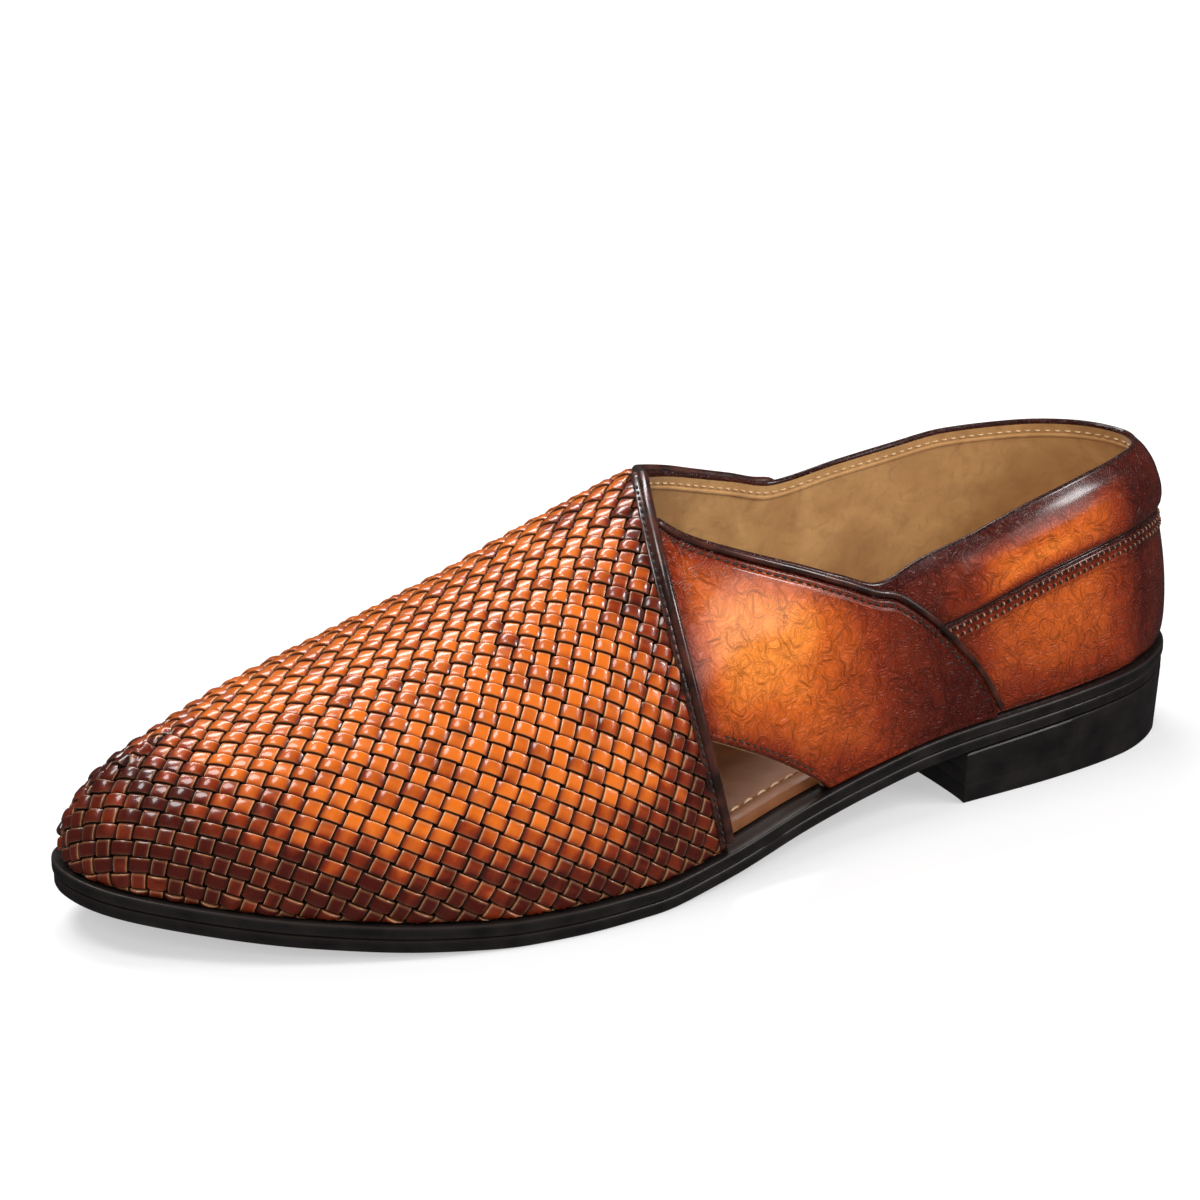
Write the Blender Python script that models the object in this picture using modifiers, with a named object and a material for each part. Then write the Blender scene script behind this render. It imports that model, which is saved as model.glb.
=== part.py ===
"""Woven cross-strap leather shoe, left foot, as an assembly of separate pieces.

Run with: blender --background --python part.py

Metres, +Z up. The toe points along -X, the heel along +X, the outer (lateral) side along -Y.
The floor is z = 0 and the middle of the footprint is over the origin.
"""

import math
from functools import lru_cache

import bmesh
import bpy
import numpy as np

# Sizes of the sole, in metres
SHOE_LENGTH = 0.302         # outsole, heel back to toe tip
BALL_WIDTH = 0.106          # outsole across the ball of the foot
WAIST_WIDTH = 0.070         # outsole across the arch
HEEL_WIDTH = 0.066          # outsole across the heel
TOE_SWING = 0.0047          # how far the toe tip leans to the inner side
HEEL_HEIGHT = 0.0175        # floor to the underside of the outsole at the heel back
TOE_SPRING = 0.0100         # floor to the underside of the outsole at the toe tip
OUTSOLE_THICKNESS = 0.0032
WELT_THICKNESS = 0.0030
EDGE_ROUNDING = 0.0005      # on the edges of the outsole, welt and heel
OUTSOLE_REVEAL = 0.0004     # the outsole stands in by this much under the welt
HEEL_BREAST = 0.081         # heel back to the front face of the heel block
HEEL_TAPER = 0.0012         # the heel block draws in by this much down to the floor
INSOLE_THICKNESS = 0.0028

# Sizes of the upper
THROAT_HEIGHT = 0.0850      # floor to the crest of the wall at the throat
COLLAR_HEIGHT = 0.0765      # floor to the rim at the heel back
LAST_TOP = 0.1020           # floor to the top of the last's cone, above the collar
WALL = 0.0016               # leather and lining of the upper
WELT_LEDGE = 0.0042         # outsole edge to the wall at the forefoot, under the weave
HEEL_LEDGE = 0.0030         # outsole edge to the wall at the heel
STRAP_THICKNESS = 0.0014
WEAVE_BASE = 0.0009         # the woven vamp in the grooves between strips
WEAVE_RISE = 0.0010         # how far a strip's pillow stands above them
WEAVE_PITCH = 0.0085        # along the shoe, from one crossing to the next
PIPING_RADIUS = 0.0013      # round the woven panel
CORD_RADIUS = 0.0008        # along the strap's edge
EDGE_BOW = 0.019            # how far the woven panel's outer edge bows to the toe, in loop places
BOW_REACH = 0.08            # how far along the loop the bow fades out, in loop places
SWELL_POWER = 0.4           # under 1 it keeps a rib's swell low
COLLAR_ROLL = 0.0026        # how far the padded collar roll stands out
ROLL_HEIGHT = 0.0175        # from the groove under the roll up to the rim
GAP = 0.0003                # between pieces that touch
LIFT = 0.0005               # between the upper and what lies over it, clear of the facets of both

# Places along the shoe, as shares of its length from the heel back
VAMP_EDGE = 0.519           # where the piping of the woven panel's outer edge meets the welt
STRAP_END = 0.234           # where the outer strap's rear edge meets the welt
CUT_OUT_END = 0.410         # where the strap's lower edge meets the welt
WING_END = 0.195            # where the woven wing's rear edge meets the welt, inner side
WING_FRONT = 0.405          # where the wing's lower edge meets the welt, inner side


def table(rows):
    """A smooth function through rows of (place, value), with no overshoot between them."""
    xs = [row[0] for row in rows]
    ys = [row[1] for row in rows]
    steps = [b - a for a, b in zip(xs, xs[1:])]
    rises = [(b - a) / h for a, b, h in zip(ys, ys[1:], steps)]
    slopes = [rises[0]]
    for before, after, h0, h1 in zip(rises, rises[1:], steps, steps[1:]):
        if before * after <= 0:
            slopes.append(0.0)
        else:
            w0, w1 = 2 * h1 + h0, h1 + 2 * h0
            slopes.append((w0 + w1) / (w0 / before + w1 / after))
    slopes.append(rises[-1])

    def value(x):
        if x <= xs[0]:
            return ys[0]
        if x >= xs[-1]:
            return ys[-1]
        i = max(k for k in range(len(steps)) if xs[k] <= x)
        h = steps[i]
        s = (x - xs[i]) / h
        return ((1 + 2 * s) * (1 - s) ** 2 * ys[i] + s * (1 - s) ** 2 * h * slopes[i]
                + s * s * (3 - 2 * s) * ys[i + 1] + s * s * (s - 1) * h * slopes[i + 1])

    return value


def turn_of(along):
    """The outline's own parameter, 0 at the heel back and 1 at the toe tip, which rounds both ends."""
    return math.acos(max(-1.0, min(1.0, 1 - 2 * along))) / math.pi


def along_of(turn):
    return (1 - math.cos(math.pi * turn)) / 2


def x_of(along):
    return SHOE_LENGTH * (0.5 - along)


# Footprint: share of the length, half width to the outer side and to the inner side, the width they are shares of
OUTLINE = (
    (0.000, 0.000, 0.000, HEEL_WIDTH),
    (0.030, 0.270, 0.275, HEEL_WIDTH),
    (0.090, 0.420, 0.420, HEEL_WIDTH),
    (0.180, 0.495, 0.485, HEEL_WIDTH),
    (0.300, 0.507, 0.440, WAIST_WIDTH),
    (0.360, 0.540, 0.440, WAIST_WIDTH),
    (0.420, 0.585, 0.460, WAIST_WIDTH),
    (0.540, 0.474, 0.385, BALL_WIDTH),
    (0.600, 0.510, 0.436, BALL_WIDTH),
    (0.660, 0.524, 0.462, BALL_WIDTH),
    (0.710, 0.515, 0.468, BALL_WIDTH),
    (0.760, 0.486, 0.455, BALL_WIDTH),
    (0.860, 0.378, 0.362, BALL_WIDTH),
    (0.940, 0.246, 0.236, BALL_WIDTH),
    (0.985, 0.137, 0.131, BALL_WIDTH),
    (1.000, 0.000, 0.000, BALL_WIDTH),
)
outer_half = table([(turn_of(a), outer * w) for a, outer, inner, w in OUTLINE])
inner_half = table([(turn_of(a), inner * w) for a, outer, inner, w in OUTLINE])
swing = table([(0.55, 0.0), (0.80, 0.30 * TOE_SWING), (0.92, 0.8 * TOE_SWING), (1.0, TOE_SWING)])

# Underside of the outsole: share of the length, height, the height it is a share of
UNDERSIDE = (
    (0.000, 1.00, HEEL_HEIGHT),
    (0.265, 0.78, HEEL_HEIGHT),
    (0.310, 0.71, HEEL_HEIGHT),
    (0.370, 0.56, HEEL_HEIGHT),
    (0.440, 0.36, HEEL_HEIGHT),
    (0.520, 0.13, HEEL_HEIGHT),
    (0.600, 0.00, HEEL_HEIGHT),
    (0.700, 0.00, TOE_SPRING),
    (0.780, 0.12, TOE_SPRING),
    (0.860, 0.36, TOE_SPRING),
    (0.930, 0.66, TOE_SPRING),
    (1.000, 1.00, TOE_SPRING),
)
underside = table([(a, share * height) for a, share, height in UNDERSIDE])
ledge = table([(0.0, HEEL_LEDGE), (0.30, HEEL_LEDGE), (0.50, WELT_LEDGE), (1.0, WELT_LEDGE)])


def seat(along):
    """Height of the welt's top face, where the upper stands."""
    return underside(along) + OUTSOLE_THICKNESS + GAP + WELT_THICKNESS


def footprint(q, inset=0.0):
    """Plan point at loop place q: 0 at the heel back, 1 at the toe tip by the outer side, 2 at the heel back."""
    def edge(p):
        p = p % 2.0
        turn = min(p, 2 - p)
        side = -outer_half(turn) if p <= 1 else inner_half(turn)
        return np.array([x_of(along_of(turn)), swing(turn) + side])

    point = edge(q)
    if inset:
        ahead = edge(q + 0.002) - edge(q - 0.002)
        point = point + inset * np.array([ahead[1], -ahead[0]]) / np.hypot(*ahead)
    return point


SIDES = [footprint(2 * k / 400)[1] for k in range(400)]
SIDE_SHIFT = -(min(SIDES) + max(SIDES)) / 2      # puts the middle of the footprint over the origin


def along_at(q):
    q = q % 2.0
    return along_of(min(q, 2 - q))


def place(along, inner=False):
    """Loop place at a share of the length, on the outer or the inner side."""
    return 2 - turn_of(along) if inner else turn_of(along)


# Crest of the last, from the heel end of its cone to the toe: share of the length, height, lean to the inner side
CREST = (
    (0.060, 0.975, LAST_TOP, 0.0000),
    (0.200, 1.000, LAST_TOP, 0.0000),
    (0.350, 0.950, LAST_TOP, 0.0005),
    (0.440, 1.075, THROAT_HEIGHT, 0.0015),
    (0.507, 1.000, THROAT_HEIGHT, 0.0020),
    (0.581, 0.892, THROAT_HEIGHT, 0.0030),
    (0.660, 0.770, THROAT_HEIGHT, 0.0040),
    (0.740, 0.673, THROAT_HEIGHT, 0.0045),
    (0.820, 0.592, THROAT_HEIGHT, 0.0045),
    (0.895, 0.508, THROAT_HEIGHT, 0.0045),
)
crest_height = table([(a, share * height) for a, share, height, lean in CREST])
crest_side = table([(a, lean) for a, share, height, lean in CREST])

# Ribs of the last, from the welt up to the crest: share of the length at the foot and at the top, how boxy the rib
# is on the outer and inner side (2 is round), how far it swells past its foot
RIBS = (
    (0.00, 0.115, 2.20, 2.20, 0.0030),
    (0.05, 0.135, 2.20, 2.20, 0.0028),
    (0.12, 0.175, 2.20, 2.20, 0.0024),
    (0.20, 0.230, 2.15, 2.20, 0.0018),
    (0.30, 0.310, 2.05, 2.15, 0.0014),
    (0.45, 0.450, 2.05, 2.10, 0.0012),
    (0.525, 0.507, 2.10, 2.00, 0.0014),
    (0.65, 0.620, 2.20, 2.00, 0.0016),
    (0.78, 0.735, 2.20, 2.00, 0.0015),
    (0.88, 0.815, 2.20, 2.10, 0.0012),
    (0.95, 0.865, 2.15, 2.15, 0.0010),
    (1.00, 0.895, 2.15, 2.15, 0.0008),
)
rib_top = table([(turn_of(foot), top) for foot, top, outer, inner, swell in RIBS])
rib_outer_box = table([(turn_of(foot), outer) for foot, top, outer, inner, swell in RIBS])
rib_inner_box = table([(turn_of(foot), inner) for foot, top, outer, inner, swell in RIBS])
rib_swell = table([(turn_of(foot), swell) for foot, top, outer, inner, swell in RIBS])


def crest_slope(along):
    """Rise of the crest towards the heel, in height per length."""
    step = 0.004
    return (crest_height(along - step) - crest_height(along + step)) / (2 * step * SHOE_LENGTH)


def reach_angle(rise, run, slope, power):
    """Where on its quarter round a rib stops, so that it meets the crest at the crest's own slope."""
    if slope <= 0:
        return math.pi / 2
    low, high = math.radians(40), math.pi / 2
    for halving in range(30):
        middle = (low + high) / 2
        cosine, sine = math.cos(middle), math.sin(middle)
        steepness = rise / run * cosine ** (2 - power) * (1 - cosine ** power) / sine ** 2
        if steepness > slope:
            low = middle
        else:
            high = middle
    return low


@lru_cache(maxsize=None)
def rib(q):
    """What stays the same along a rib: foot, crest point, low and high heights, power, reach, swell, inward."""
    turn = min(q, 2 - q)
    along = along_of(turn)
    foot = footprint(q, ledge(along))
    inward = footprint(q, ledge(along) + 0.001) - foot
    top = rib_top(turn)
    crest = np.array([x_of(top), crest_side(top)])
    box = rib_inner_box(turn) if q > 1 else rib_outer_box(turn)
    low, high = seat(along) + GAP, crest_height(top)
    run = np.hypot(*(crest - foot))
    slope = crest_slope(top) * (crest - foot)[0] / run
    reach = reach_angle(high - low, run, slope, 2 / box)
    return foot, crest, low, high, 2 / box, reach, rib_swell(turn), inward / np.hypot(*inward)


def bowed(q, v):
    """The rib that loop place q lies on at v: near the woven panel's outer edge they bow towards the toe."""
    q = q % 2.0
    if q >= 1.0:
        return q
    near = math.exp(-((q - place(VAMP_EDGE)) / BOW_REACH) ** 2)
    return q + EDGE_BOW * near * 4 * v * (1 - v)


def last_point(q, v):
    """A point of the last's surface at loop place q, with v from 0 at the welt to 1 at the crest."""
    v = min(1.0, max(0.0, v))
    foot, crest, low, high, power, reach, swell, inward = rib(round(bowed(q, v), 6))
    angle = v * reach
    across = (1 - math.cos(angle) ** power) / (1 - math.cos(reach) ** power)
    rise = (math.sin(angle) / math.sin(reach)) ** power
    bulge = inward * swell * math.sin(math.pi * min(1.0, rise ** SWELL_POWER))
    plan = foot + (crest - foot) * across - bulge
    return np.array([plan[0], plan[1], low + (high - low) * rise])


def level(q, height):
    """The v at which the surface at q reaches a height above the floor."""
    v = 0.5
    for step in range(3):
        foot, crest, low, high, power, reach, swell, inward = rib(round(bowed(q, v), 6))
        share = min(1.0, max(0.0, (height - low) / (high - low)))
        v = math.asin(min(1.0, share ** (1 / power) * math.sin(reach))) / reach
    return v


def outward(q, v):
    """Unit normal of the last's surface, the mean of both sides' on the crest."""
    def one_side(place_q, place_v):
        v0, v1 = max(0.004, place_v - 0.01), min(1.0, place_v + 0.01)
        ahead = last_point(place_q + 0.003, place_v) - last_point(place_q - 0.003, place_v)
        normal = np.cross(last_point(place_q, v1) - last_point(place_q, v0), ahead)
        return normal / np.linalg.norm(normal)

    v = max(v, 0.004)
    if v < 0.999:
        return one_side(q, v)
    both = one_side(q, 0.985) + one_side(2 - q, 0.985)
    return both / np.linalg.norm(both)


# Rim of the upper on the outer side, down the strap's top edge and up again round the collar: share of the
# length, height as a share of the collar's height
OUTER_RIM = (
    (0.000, 1.000),
    (0.052, 1.000),
    (0.100, 0.985),
    (0.161, 0.950),
    (0.210, 0.910),
    (0.251, 0.868),
    (0.302, 0.826),
    (0.343, 0.782),
    (0.376, 0.832),
    (0.410, 0.893),
    (0.454, 0.963),
    (0.499, 1.025),
    (0.519, 1.060),
)
# The same on the inner side, where the woven wing's top edge is the rim in front
INNER_RIM = (
    (0.000, 1.000),
    (0.100, 1.015),
    (0.160, 1.012),
    (0.220, 0.990),
    (0.277, 0.970),
    (0.342, 0.938),
    (0.387, 0.985),
    (0.423, 1.025),
    (0.450, 1.055),
    (0.519, 1.108),
)
# Lower edge of the strap over the cut-out, from the welt up to the woven panel
STRAP_LOWER = (
    (CUT_OUT_END, 0.190),
    (0.418, 0.222),
    (0.435, 0.277),
    (0.457, 0.342),
    (0.485, 0.413),
    (0.512, 0.470),
    (0.545, 0.515),
)
# Rear edge of the strap, from the welt up to the collar's dip
STRAP_REAR = (
    (STRAP_END, 0.270),
    (0.247, 0.363),
    (0.267, 0.477),
    (0.293, 0.593),
    (0.322, 0.701),
    (0.343, 0.782),
)
# Rear edge of the woven wing on the inner side, from the welt up to the rim
WING_REAR = (
    (WING_END, 0.290),
    (0.215, 0.410),
    (0.240, 0.530),
    (0.290, 0.735),
    (0.342, 0.900),
)
# Lower edge of the woven panel on the inner side, from the waist to the toe
WING_LOWER = (
    (WING_FRONT, 0.190),
    (0.430, 0.300),
    (0.470, 0.400),
    (0.530, 0.460),
    (0.620, 0.465),
    (0.720, 0.430),
    (0.800, 0.410),
    (0.880, 0.375),
    (0.930, 0.335),
    (0.965, 0.300),
    (0.988, 0.270),
)


def heights(rows):
    """A function from a share of the length to a height, from rows of shares."""
    return table([(turn_of(a), share * COLLAR_HEIGHT) for a, share in rows])


outer_rim = heights(OUTER_RIM)
inner_rim = heights(INNER_RIM)
strap_lower = heights(STRAP_LOWER)
strap_rear = heights(STRAP_REAR)
wing_rear = heights(WING_REAR)
wing_lower = heights(WING_LOWER)

# Across the padded roll, from its groove up to the rim: place, share of the roll's standing out
ROLL_SHAPE = ((0.0, 0.0), (0.16, 0.80), (0.34, 1.00), (0.55, 0.95), (0.80, 0.62), (1.0, 0.05))
# Along the collar, how much of the roll is left: it fades under the strap, and before the wing
OUTER_ROLL_FADE = ((0.270, 1.0), (0.330, 0.0))
INNER_ROLL_FADE = ((0.240, 1.0), (0.290, 0.0))
roll_shape = table(ROLL_SHAPE)
outer_roll_fade = table([(turn_of(a), share) for a, share in OUTER_ROLL_FADE])
inner_roll_fade = table([(turn_of(a), share) for a, share in INNER_ROLL_FADE])

EDGE_PLACE = place(VAMP_EDGE)
PER_PLACE = SHOE_LENGTH * math.pi / 2      # length along the shoe of one unit of loop place, at its middle
REAR_OF_PIPING = EDGE_PLACE - (PIPING_RADIUS + GAP) / PER_PLACE
SLIVER = 0.0005                            # the step from the crest down to the rim, in loop places
FRONT_GROOVE = 0.60                        # v of the groove's line where it runs on round the front


@lru_cache(maxsize=None)
def rim_and_groove(q):
    """The v of the upper's rim at q, and of the groove under the padded roll."""
    turn = min(q, 2 - q)
    if turn > REAR_OF_PIPING - SLIVER / 2:
        return 1.0, FRONT_GROOVE
    rim = inner_rim(turn) if q > 1 else outer_rim(turn)
    return level(q, rim), level(q, rim - ROLL_HEIGHT)


def padding(q, v):
    """How far the collar roll stands out of the last."""
    q = round(q % 2.0, 6)
    fade = inner_roll_fade(2 - q) if q > 1 else outer_roll_fade(q)
    if fade <= 0:
        return 0.0
    top, groove = rim_and_groove(q)
    return COLLAR_ROLL * fade * roll_shape((v - groove) / (top - groove))


def surface(q, v, out=0.0, padded=True):
    """A point out from the last's surface, over the collar roll if padded; at v = 0 it stands on the welt."""
    point = last_point(q, v)
    if padded:
        out = out + padding(q, v)
    if out:
        point = point + out * outward(q, v)
    floor = seat(0.5 - point[0] / SHOE_LENGTH) + GAP
    point[2] = floor if v <= 0 else max(point[2], floor)
    return point


def beside(q, v, ahead, distance):
    """The (q, v) that lies a distance to the left of a heading on the surface, seen from outside."""
    step = 0.004
    along_q = (last_point(q + step, v) - last_point(q - step, v)) / (2 * step)
    v0, v1 = max(0.0, v - step), min(1.0, v + step)
    along_v = (last_point(q, v1) - last_point(q, v0)) / (v1 - v0)
    sideways = np.cross(outward(q, v), ahead)
    sideways = sideways / np.linalg.norm(sideways) * distance
    moves, *rest = np.linalg.lstsq(np.column_stack([along_q, along_v]), sideways, rcond=None)
    return q + moves[0], v + moves[1]


def edge_route(places, spacing, aside, out):
    """Evenly spaced points over an edge given as (q, v) places, moved aside on the surface and lifted off it."""
    rough = [last_point(q, v) for q, v in places]
    travelled = np.concatenate([[0], np.cumsum([np.linalg.norm(b - a) for a, b in zip(rough, rough[1:])])])
    count = max(2, round(travelled[-1] / spacing)) + 1
    wanted = np.linspace(0, travelled[-1], count)
    even_q = np.interp(wanted, travelled, [q for q, v in places])
    even_v = np.interp(wanted, travelled, [v for q, v in places])
    line = [last_point(q, v) for q, v in zip(even_q, even_v)]
    points = []
    for i, (q, v) in enumerate(zip(even_q, even_v)):
        ahead = line[min(i + 1, count - 1)] - line[max(i - 1, 0)]
        side_q, side_v = beside(q, v, ahead, aside)
        points.append(surface(side_q, min(1.0, max(0.0, side_v)), out))
    return points


# Building of meshes and objects
def clear_scene():
    for item in list(bpy.data.objects):
        bpy.data.objects.remove(item)


def new_collection(name):
    collection = bpy.data.collections.new(name)
    bpy.context.scene.collection.children.link(collection)
    return collection


def leather(name, colour, roughness):
    material = bpy.data.materials.new(name)
    material.use_nodes = True
    shader = material.node_tree.nodes["Principled BSDF"]
    shader.inputs["Base Color"].default_value = (*colour, 1.0)
    shader.inputs["Roughness"].default_value = roughness
    material.diffuse_color = (*colour, 1.0)
    return material


def add_mesh(name, points, faces, material, collection, smooth=True):
    mesh = bpy.data.meshes.new(name)
    mesh.from_pydata([tuple(p) for p in points], [], faces)
    mesh.validate()
    if material:
        mesh.materials.append(material)
    if smooth:
        mesh.shade_smooth()
        mesh.set_sharp_from_angle(angle=math.radians(40))
    item = bpy.data.objects.new(name, mesh)
    item.location.y = SIDE_SHIFT
    collection.objects.link(item)
    return item


def add_tube(name, points, radius, material, collection):
    """A piping or cord through the points, round and capped."""
    curve = bpy.data.curves.new(name, "CURVE")
    curve.dimensions = "3D"
    curve.bevel_depth = radius
    curve.bevel_resolution = 1
    curve.use_fill_caps = True
    spline = curve.splines.new("POLY")
    spline.points.add(len(points) - 1)
    for slot, point in zip(spline.points, points):
        slot.co = (*point, 1.0)
    curve.materials.append(material)
    item = bpy.data.objects.new(name, curve)
    item.location.y = SIDE_SHIFT
    collection.objects.link(item)
    return item


def walled(outer, inner, faces):
    """Points and faces of a closed wall between two matching open surfaces."""
    count = len(outer)
    closed = [tuple(face) for face in faces]
    closed += [tuple(i + count for i in reversed(face)) for face in faces]
    borders = {}
    for face in faces:
        for a, b in zip(face, face[1:] + face[:1]):
            if (b, a) in borders:
                del borders[(b, a)]
            else:
                borders[(a, b)] = True
    closed += [(b, a, a + count, b + count) for a, b in borders]
    return list(outer) + list(inner), closed


def grid_faces(index, columns, rows):
    """Quads, or triangles where two corners are one point, over index(column, row), facing outwards."""
    faces = []
    for i in range(columns - 1):
        for j in range(rows - 1):
            ring = [index(i, j), index(i, j + 1), index(i + 1, j + 1), index(i + 1, j)]
            face = [a for k, a in enumerate(ring) if a != ring[k - 1]]
            if len(face) > 2:
                faces.append(face)
    return faces


# Sole: outsole, welt, heel and insole
SOLE_STATIONS = 36


def plate_sheet(inset, height, end=1.0):
    """Points and upward faces of a sheet over the footprint, from the heel back to a share of the length."""
    points, rows = [], []
    for k in range(SOLE_STATIONS + 1):
        turn = turn_of(end) * k / SOLE_STATIONS
        pair = [footprint(turn, inset)]
        if 0 < turn < 1:
            pair.append(footprint(2 - turn, inset))
        rows.append([len(points) + i for i in range(len(pair))])
        points += [(x, y, height(0.5 - x / SHOE_LENGTH)) for x, y in pair]
    faces = []
    for near, far in zip(rows, rows[1:]):
        ring = [near[0], near[-1], far[-1], far[0]]
        faces.append([a for k, a in enumerate(ring) if a != ring[k - 1]])
    return points, faces


def add_plate(name, inset, height, thickness, rounding, material, collection):
    points, faces = plate_sheet(inset, height)
    item = add_mesh(name, points, faces, material, collection)
    solid = item.modifiers.new("thickness", "SOLIDIFY")
    solid.thickness = thickness
    solid.offset = 1
    if rounding:
        bevel = item.modifiers.new("edges", "BEVEL")
        bevel.width = rounding
        bevel.segments = 1
        bevel.limit_method = "ANGLE"
        bevel.angle_limit = math.radians(50)
    return item


def build_heel(material, collection):
    """The heel block: flush with the outsole above, drawn in a little at the floor."""
    end = HEEL_BREAST / SHOE_LENGTH
    upper_points, faces = plate_sheet(OUTSOLE_REVEAL, lambda along: underside(along) - GAP, end)
    lower_points, same = plate_sheet(OUTSOLE_REVEAL + HEEL_TAPER, lambda along: 0.0, end)
    points, faces = walled(upper_points, lower_points, faces)
    item = add_mesh("heel", points, faces, material, collection)
    bevel = item.modifiers.new("edges", "BEVEL")
    bevel.width = EDGE_ROUNDING
    bevel.segments = 1
    bevel.limit_method = "ANGLE"
    bevel.angle_limit = math.radians(50)
    return item


# Upper: one wall from the welt to the rim, closed over the toe, with the cut-out in its outer side
REAR_COLUMNS = 26
FRONT_COLUMNS = 16
LOWER_ROWS = 6
ROLL_ROWS = 5


def upper_grid():
    """Loop places, outer side then inner, and the point index of each column and row, shared along the crest."""
    rear = [REAR_OF_PIPING * k / REAR_COLUMNS for k in range(REAR_COLUMNS)] + [REAR_OF_PIPING - SLIVER]
    front = [REAR_OF_PIPING + (1 - REAR_OF_PIPING) * k / FRONT_COLUMNS for k in range(FRONT_COLUMNS + 1)]
    turns = rear + front
    places = turns + [2 - turn for turn in reversed(turns[1:-1])]
    count = len(turns)
    rows = LOWER_ROWS + ROLL_ROWS + 1

    def column_on_crest(i):
        return min(i, len(places) - i) if i else 0

    numbers = {}

    def index(i, j):
        i = i % len(places)
        if j == rows - 1 and column_on_crest(i) >= len(rear):
            i = column_on_crest(i)
        return numbers.setdefault((i, j), len(numbers))

    return places, count, rows, index, numbers


def row_v(q, j):
    top, groove = rim_and_groove(round(q, 6))
    if j <= LOWER_ROWS:
        return groove * j / LOWER_ROWS
    return groove + (top - groove) * (j - LOWER_ROWS) / ROLL_ROWS


def build_upper(material, collection, cutters):
    places, count, rows, index, numbers = upper_grid()
    faces = grid_faces(index, len(places) + 1, rows)
    outer, inner = [], []
    for i, j in numbers:
        v = row_v(places[i], j)
        outer.append(surface(places[i], v))
        inner.append(surface(places[i], v, -WALL, padded=False))
    points, faces = walled(outer, inner, faces)
    item = add_mesh("upper", points, faces, material, collection)
    cut = item.modifiers.new("cut-out", "BOOLEAN")
    cut.operation = "DIFFERENCE"
    cut.solver = "EXACT"
    cut.object = build_cut_out(cutters)
    return item


def build_cut_out(cutters):
    """The side opening's cutter: under the strap's lower edge, behind the woven panel's piping, down past the welt."""
    points = []
    steps = 8
    for k in range(steps + 1):
        q = place(CUT_OUT_END) + (REAR_OF_PIPING - place(CUT_OUT_END)) * k / steps
        points.append(surface(q, level(q, strap_lower(q))))
    corner_v = level(REAR_OF_PIPING, strap_lower(REAR_OF_PIPING))
    for k in range(1, 5):
        points.append(surface(REAR_OF_PIPING, corner_v * (1 - k / 4)))
    outline = [(p[0], p[2]) for p in points]
    outline.append((outline[-1][0], 0.0))
    outline.append((outline[0][0], 0.0))
    near, far = -BALL_WIDTH, -WAIST_WIDTH / 5
    front = [(x, near, z) for x, z in outline]
    back = [(x, far, z) for x, z in outline]
    count = len(outline)
    faces = [list(range(count)), [i + count for i in reversed(range(count))]]
    faces += [[(i + 1) % count, i, i + count, (i + 1) % count + count] for i in range(count)]
    cutter = add_mesh("cut_out_cutter", front + back, faces, None, cutters, smooth=False)
    tidy = bmesh.new()
    tidy.from_mesh(cutter.data)
    bmesh.ops.recalc_face_normals(tidy, faces=tidy.faces)
    tidy.to_mesh(cutter.data)
    tidy.free()
    cutter.display_type = "WIRE"
    cutter.hide_render = True
    return cutter


# Strap over the outer side, from the woven panel back to the heel
STRAP_COLUMNS = 24
STRAP_ROWS = 8
END_STEP = 0.004            # in loop places, by which strap, cord and wing stop short of their ends
CORD_ROOM = 2 * CORD_RADIUS + LIFT + GAP


def strap_top_v(q):
    if q < place(STRAP_REAR[-1][0]):
        return level(q, strap_rear(q))
    return level(q, outer_rim(q) - CORD_ROOM)


def strap_low_v(q):
    if q < place(CUT_OUT_END):
        return 0.0
    return level(q, strap_lower(q))


def build_strap(material, collection):
    first, last = place(STRAP_END) + END_STEP, REAR_OF_PIPING
    outer, inner = [], []
    for i in range(STRAP_COLUMNS + 1):
        q = first + (last - first) * i / STRAP_COLUMNS
        low, top = strap_low_v(q), strap_top_v(q)
        for j in range(STRAP_ROWS + 1):
            v = low + (top - low) * j / STRAP_ROWS
            outer.append(surface(q, v, LIFT + STRAP_THICKNESS))
            inner.append(surface(q, v, LIFT))
    faces = grid_faces(lambda i, j: i * (STRAP_ROWS + 1) + j, STRAP_COLUMNS + 1, STRAP_ROWS + 1)
    points, faces = walled(outer, inner, faces)
    return add_mesh("outer_strap", points, faces, material, collection)


# Woven panel over the front, with its wing on the inner side
WEAVE_ROWS = 13
THROAT_COLUMNS = 4          # close ones, where the rim drops off the crest
THROAT_STEP = 0.005
RIM_EASE = 0.02             # loop places over which the wing's top drops to leave room for its piping
LEAST_ROW = 0.012           # the least height of a row, as a share of v
SETTLE_REACH = 0.07         # loop places behind the throat over which the rows even out


def wing_top_v(q):
    turn = 2 - q
    if turn < turn_of(WING_REAR[-1][0]):
        return level(q, wing_rear(turn))
    room = min(1.0, (EDGE_PLACE - turn) / RIM_EASE)
    return level(q, inner_rim(turn) - room * (2 * PIPING_RADIUS + GAP))


def wing_low_v(q):
    turn = 2 - q
    if turn < turn_of(WING_FRONT):
        return 0.0
    if turn > turn_of(WING_LOWER[-1][0]):
        return level(q, wing_lower(turn)) * (1 - turn) / (1 - turn_of(WING_LOWER[-1][0]))
    return level(q, wing_lower(turn))


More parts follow.
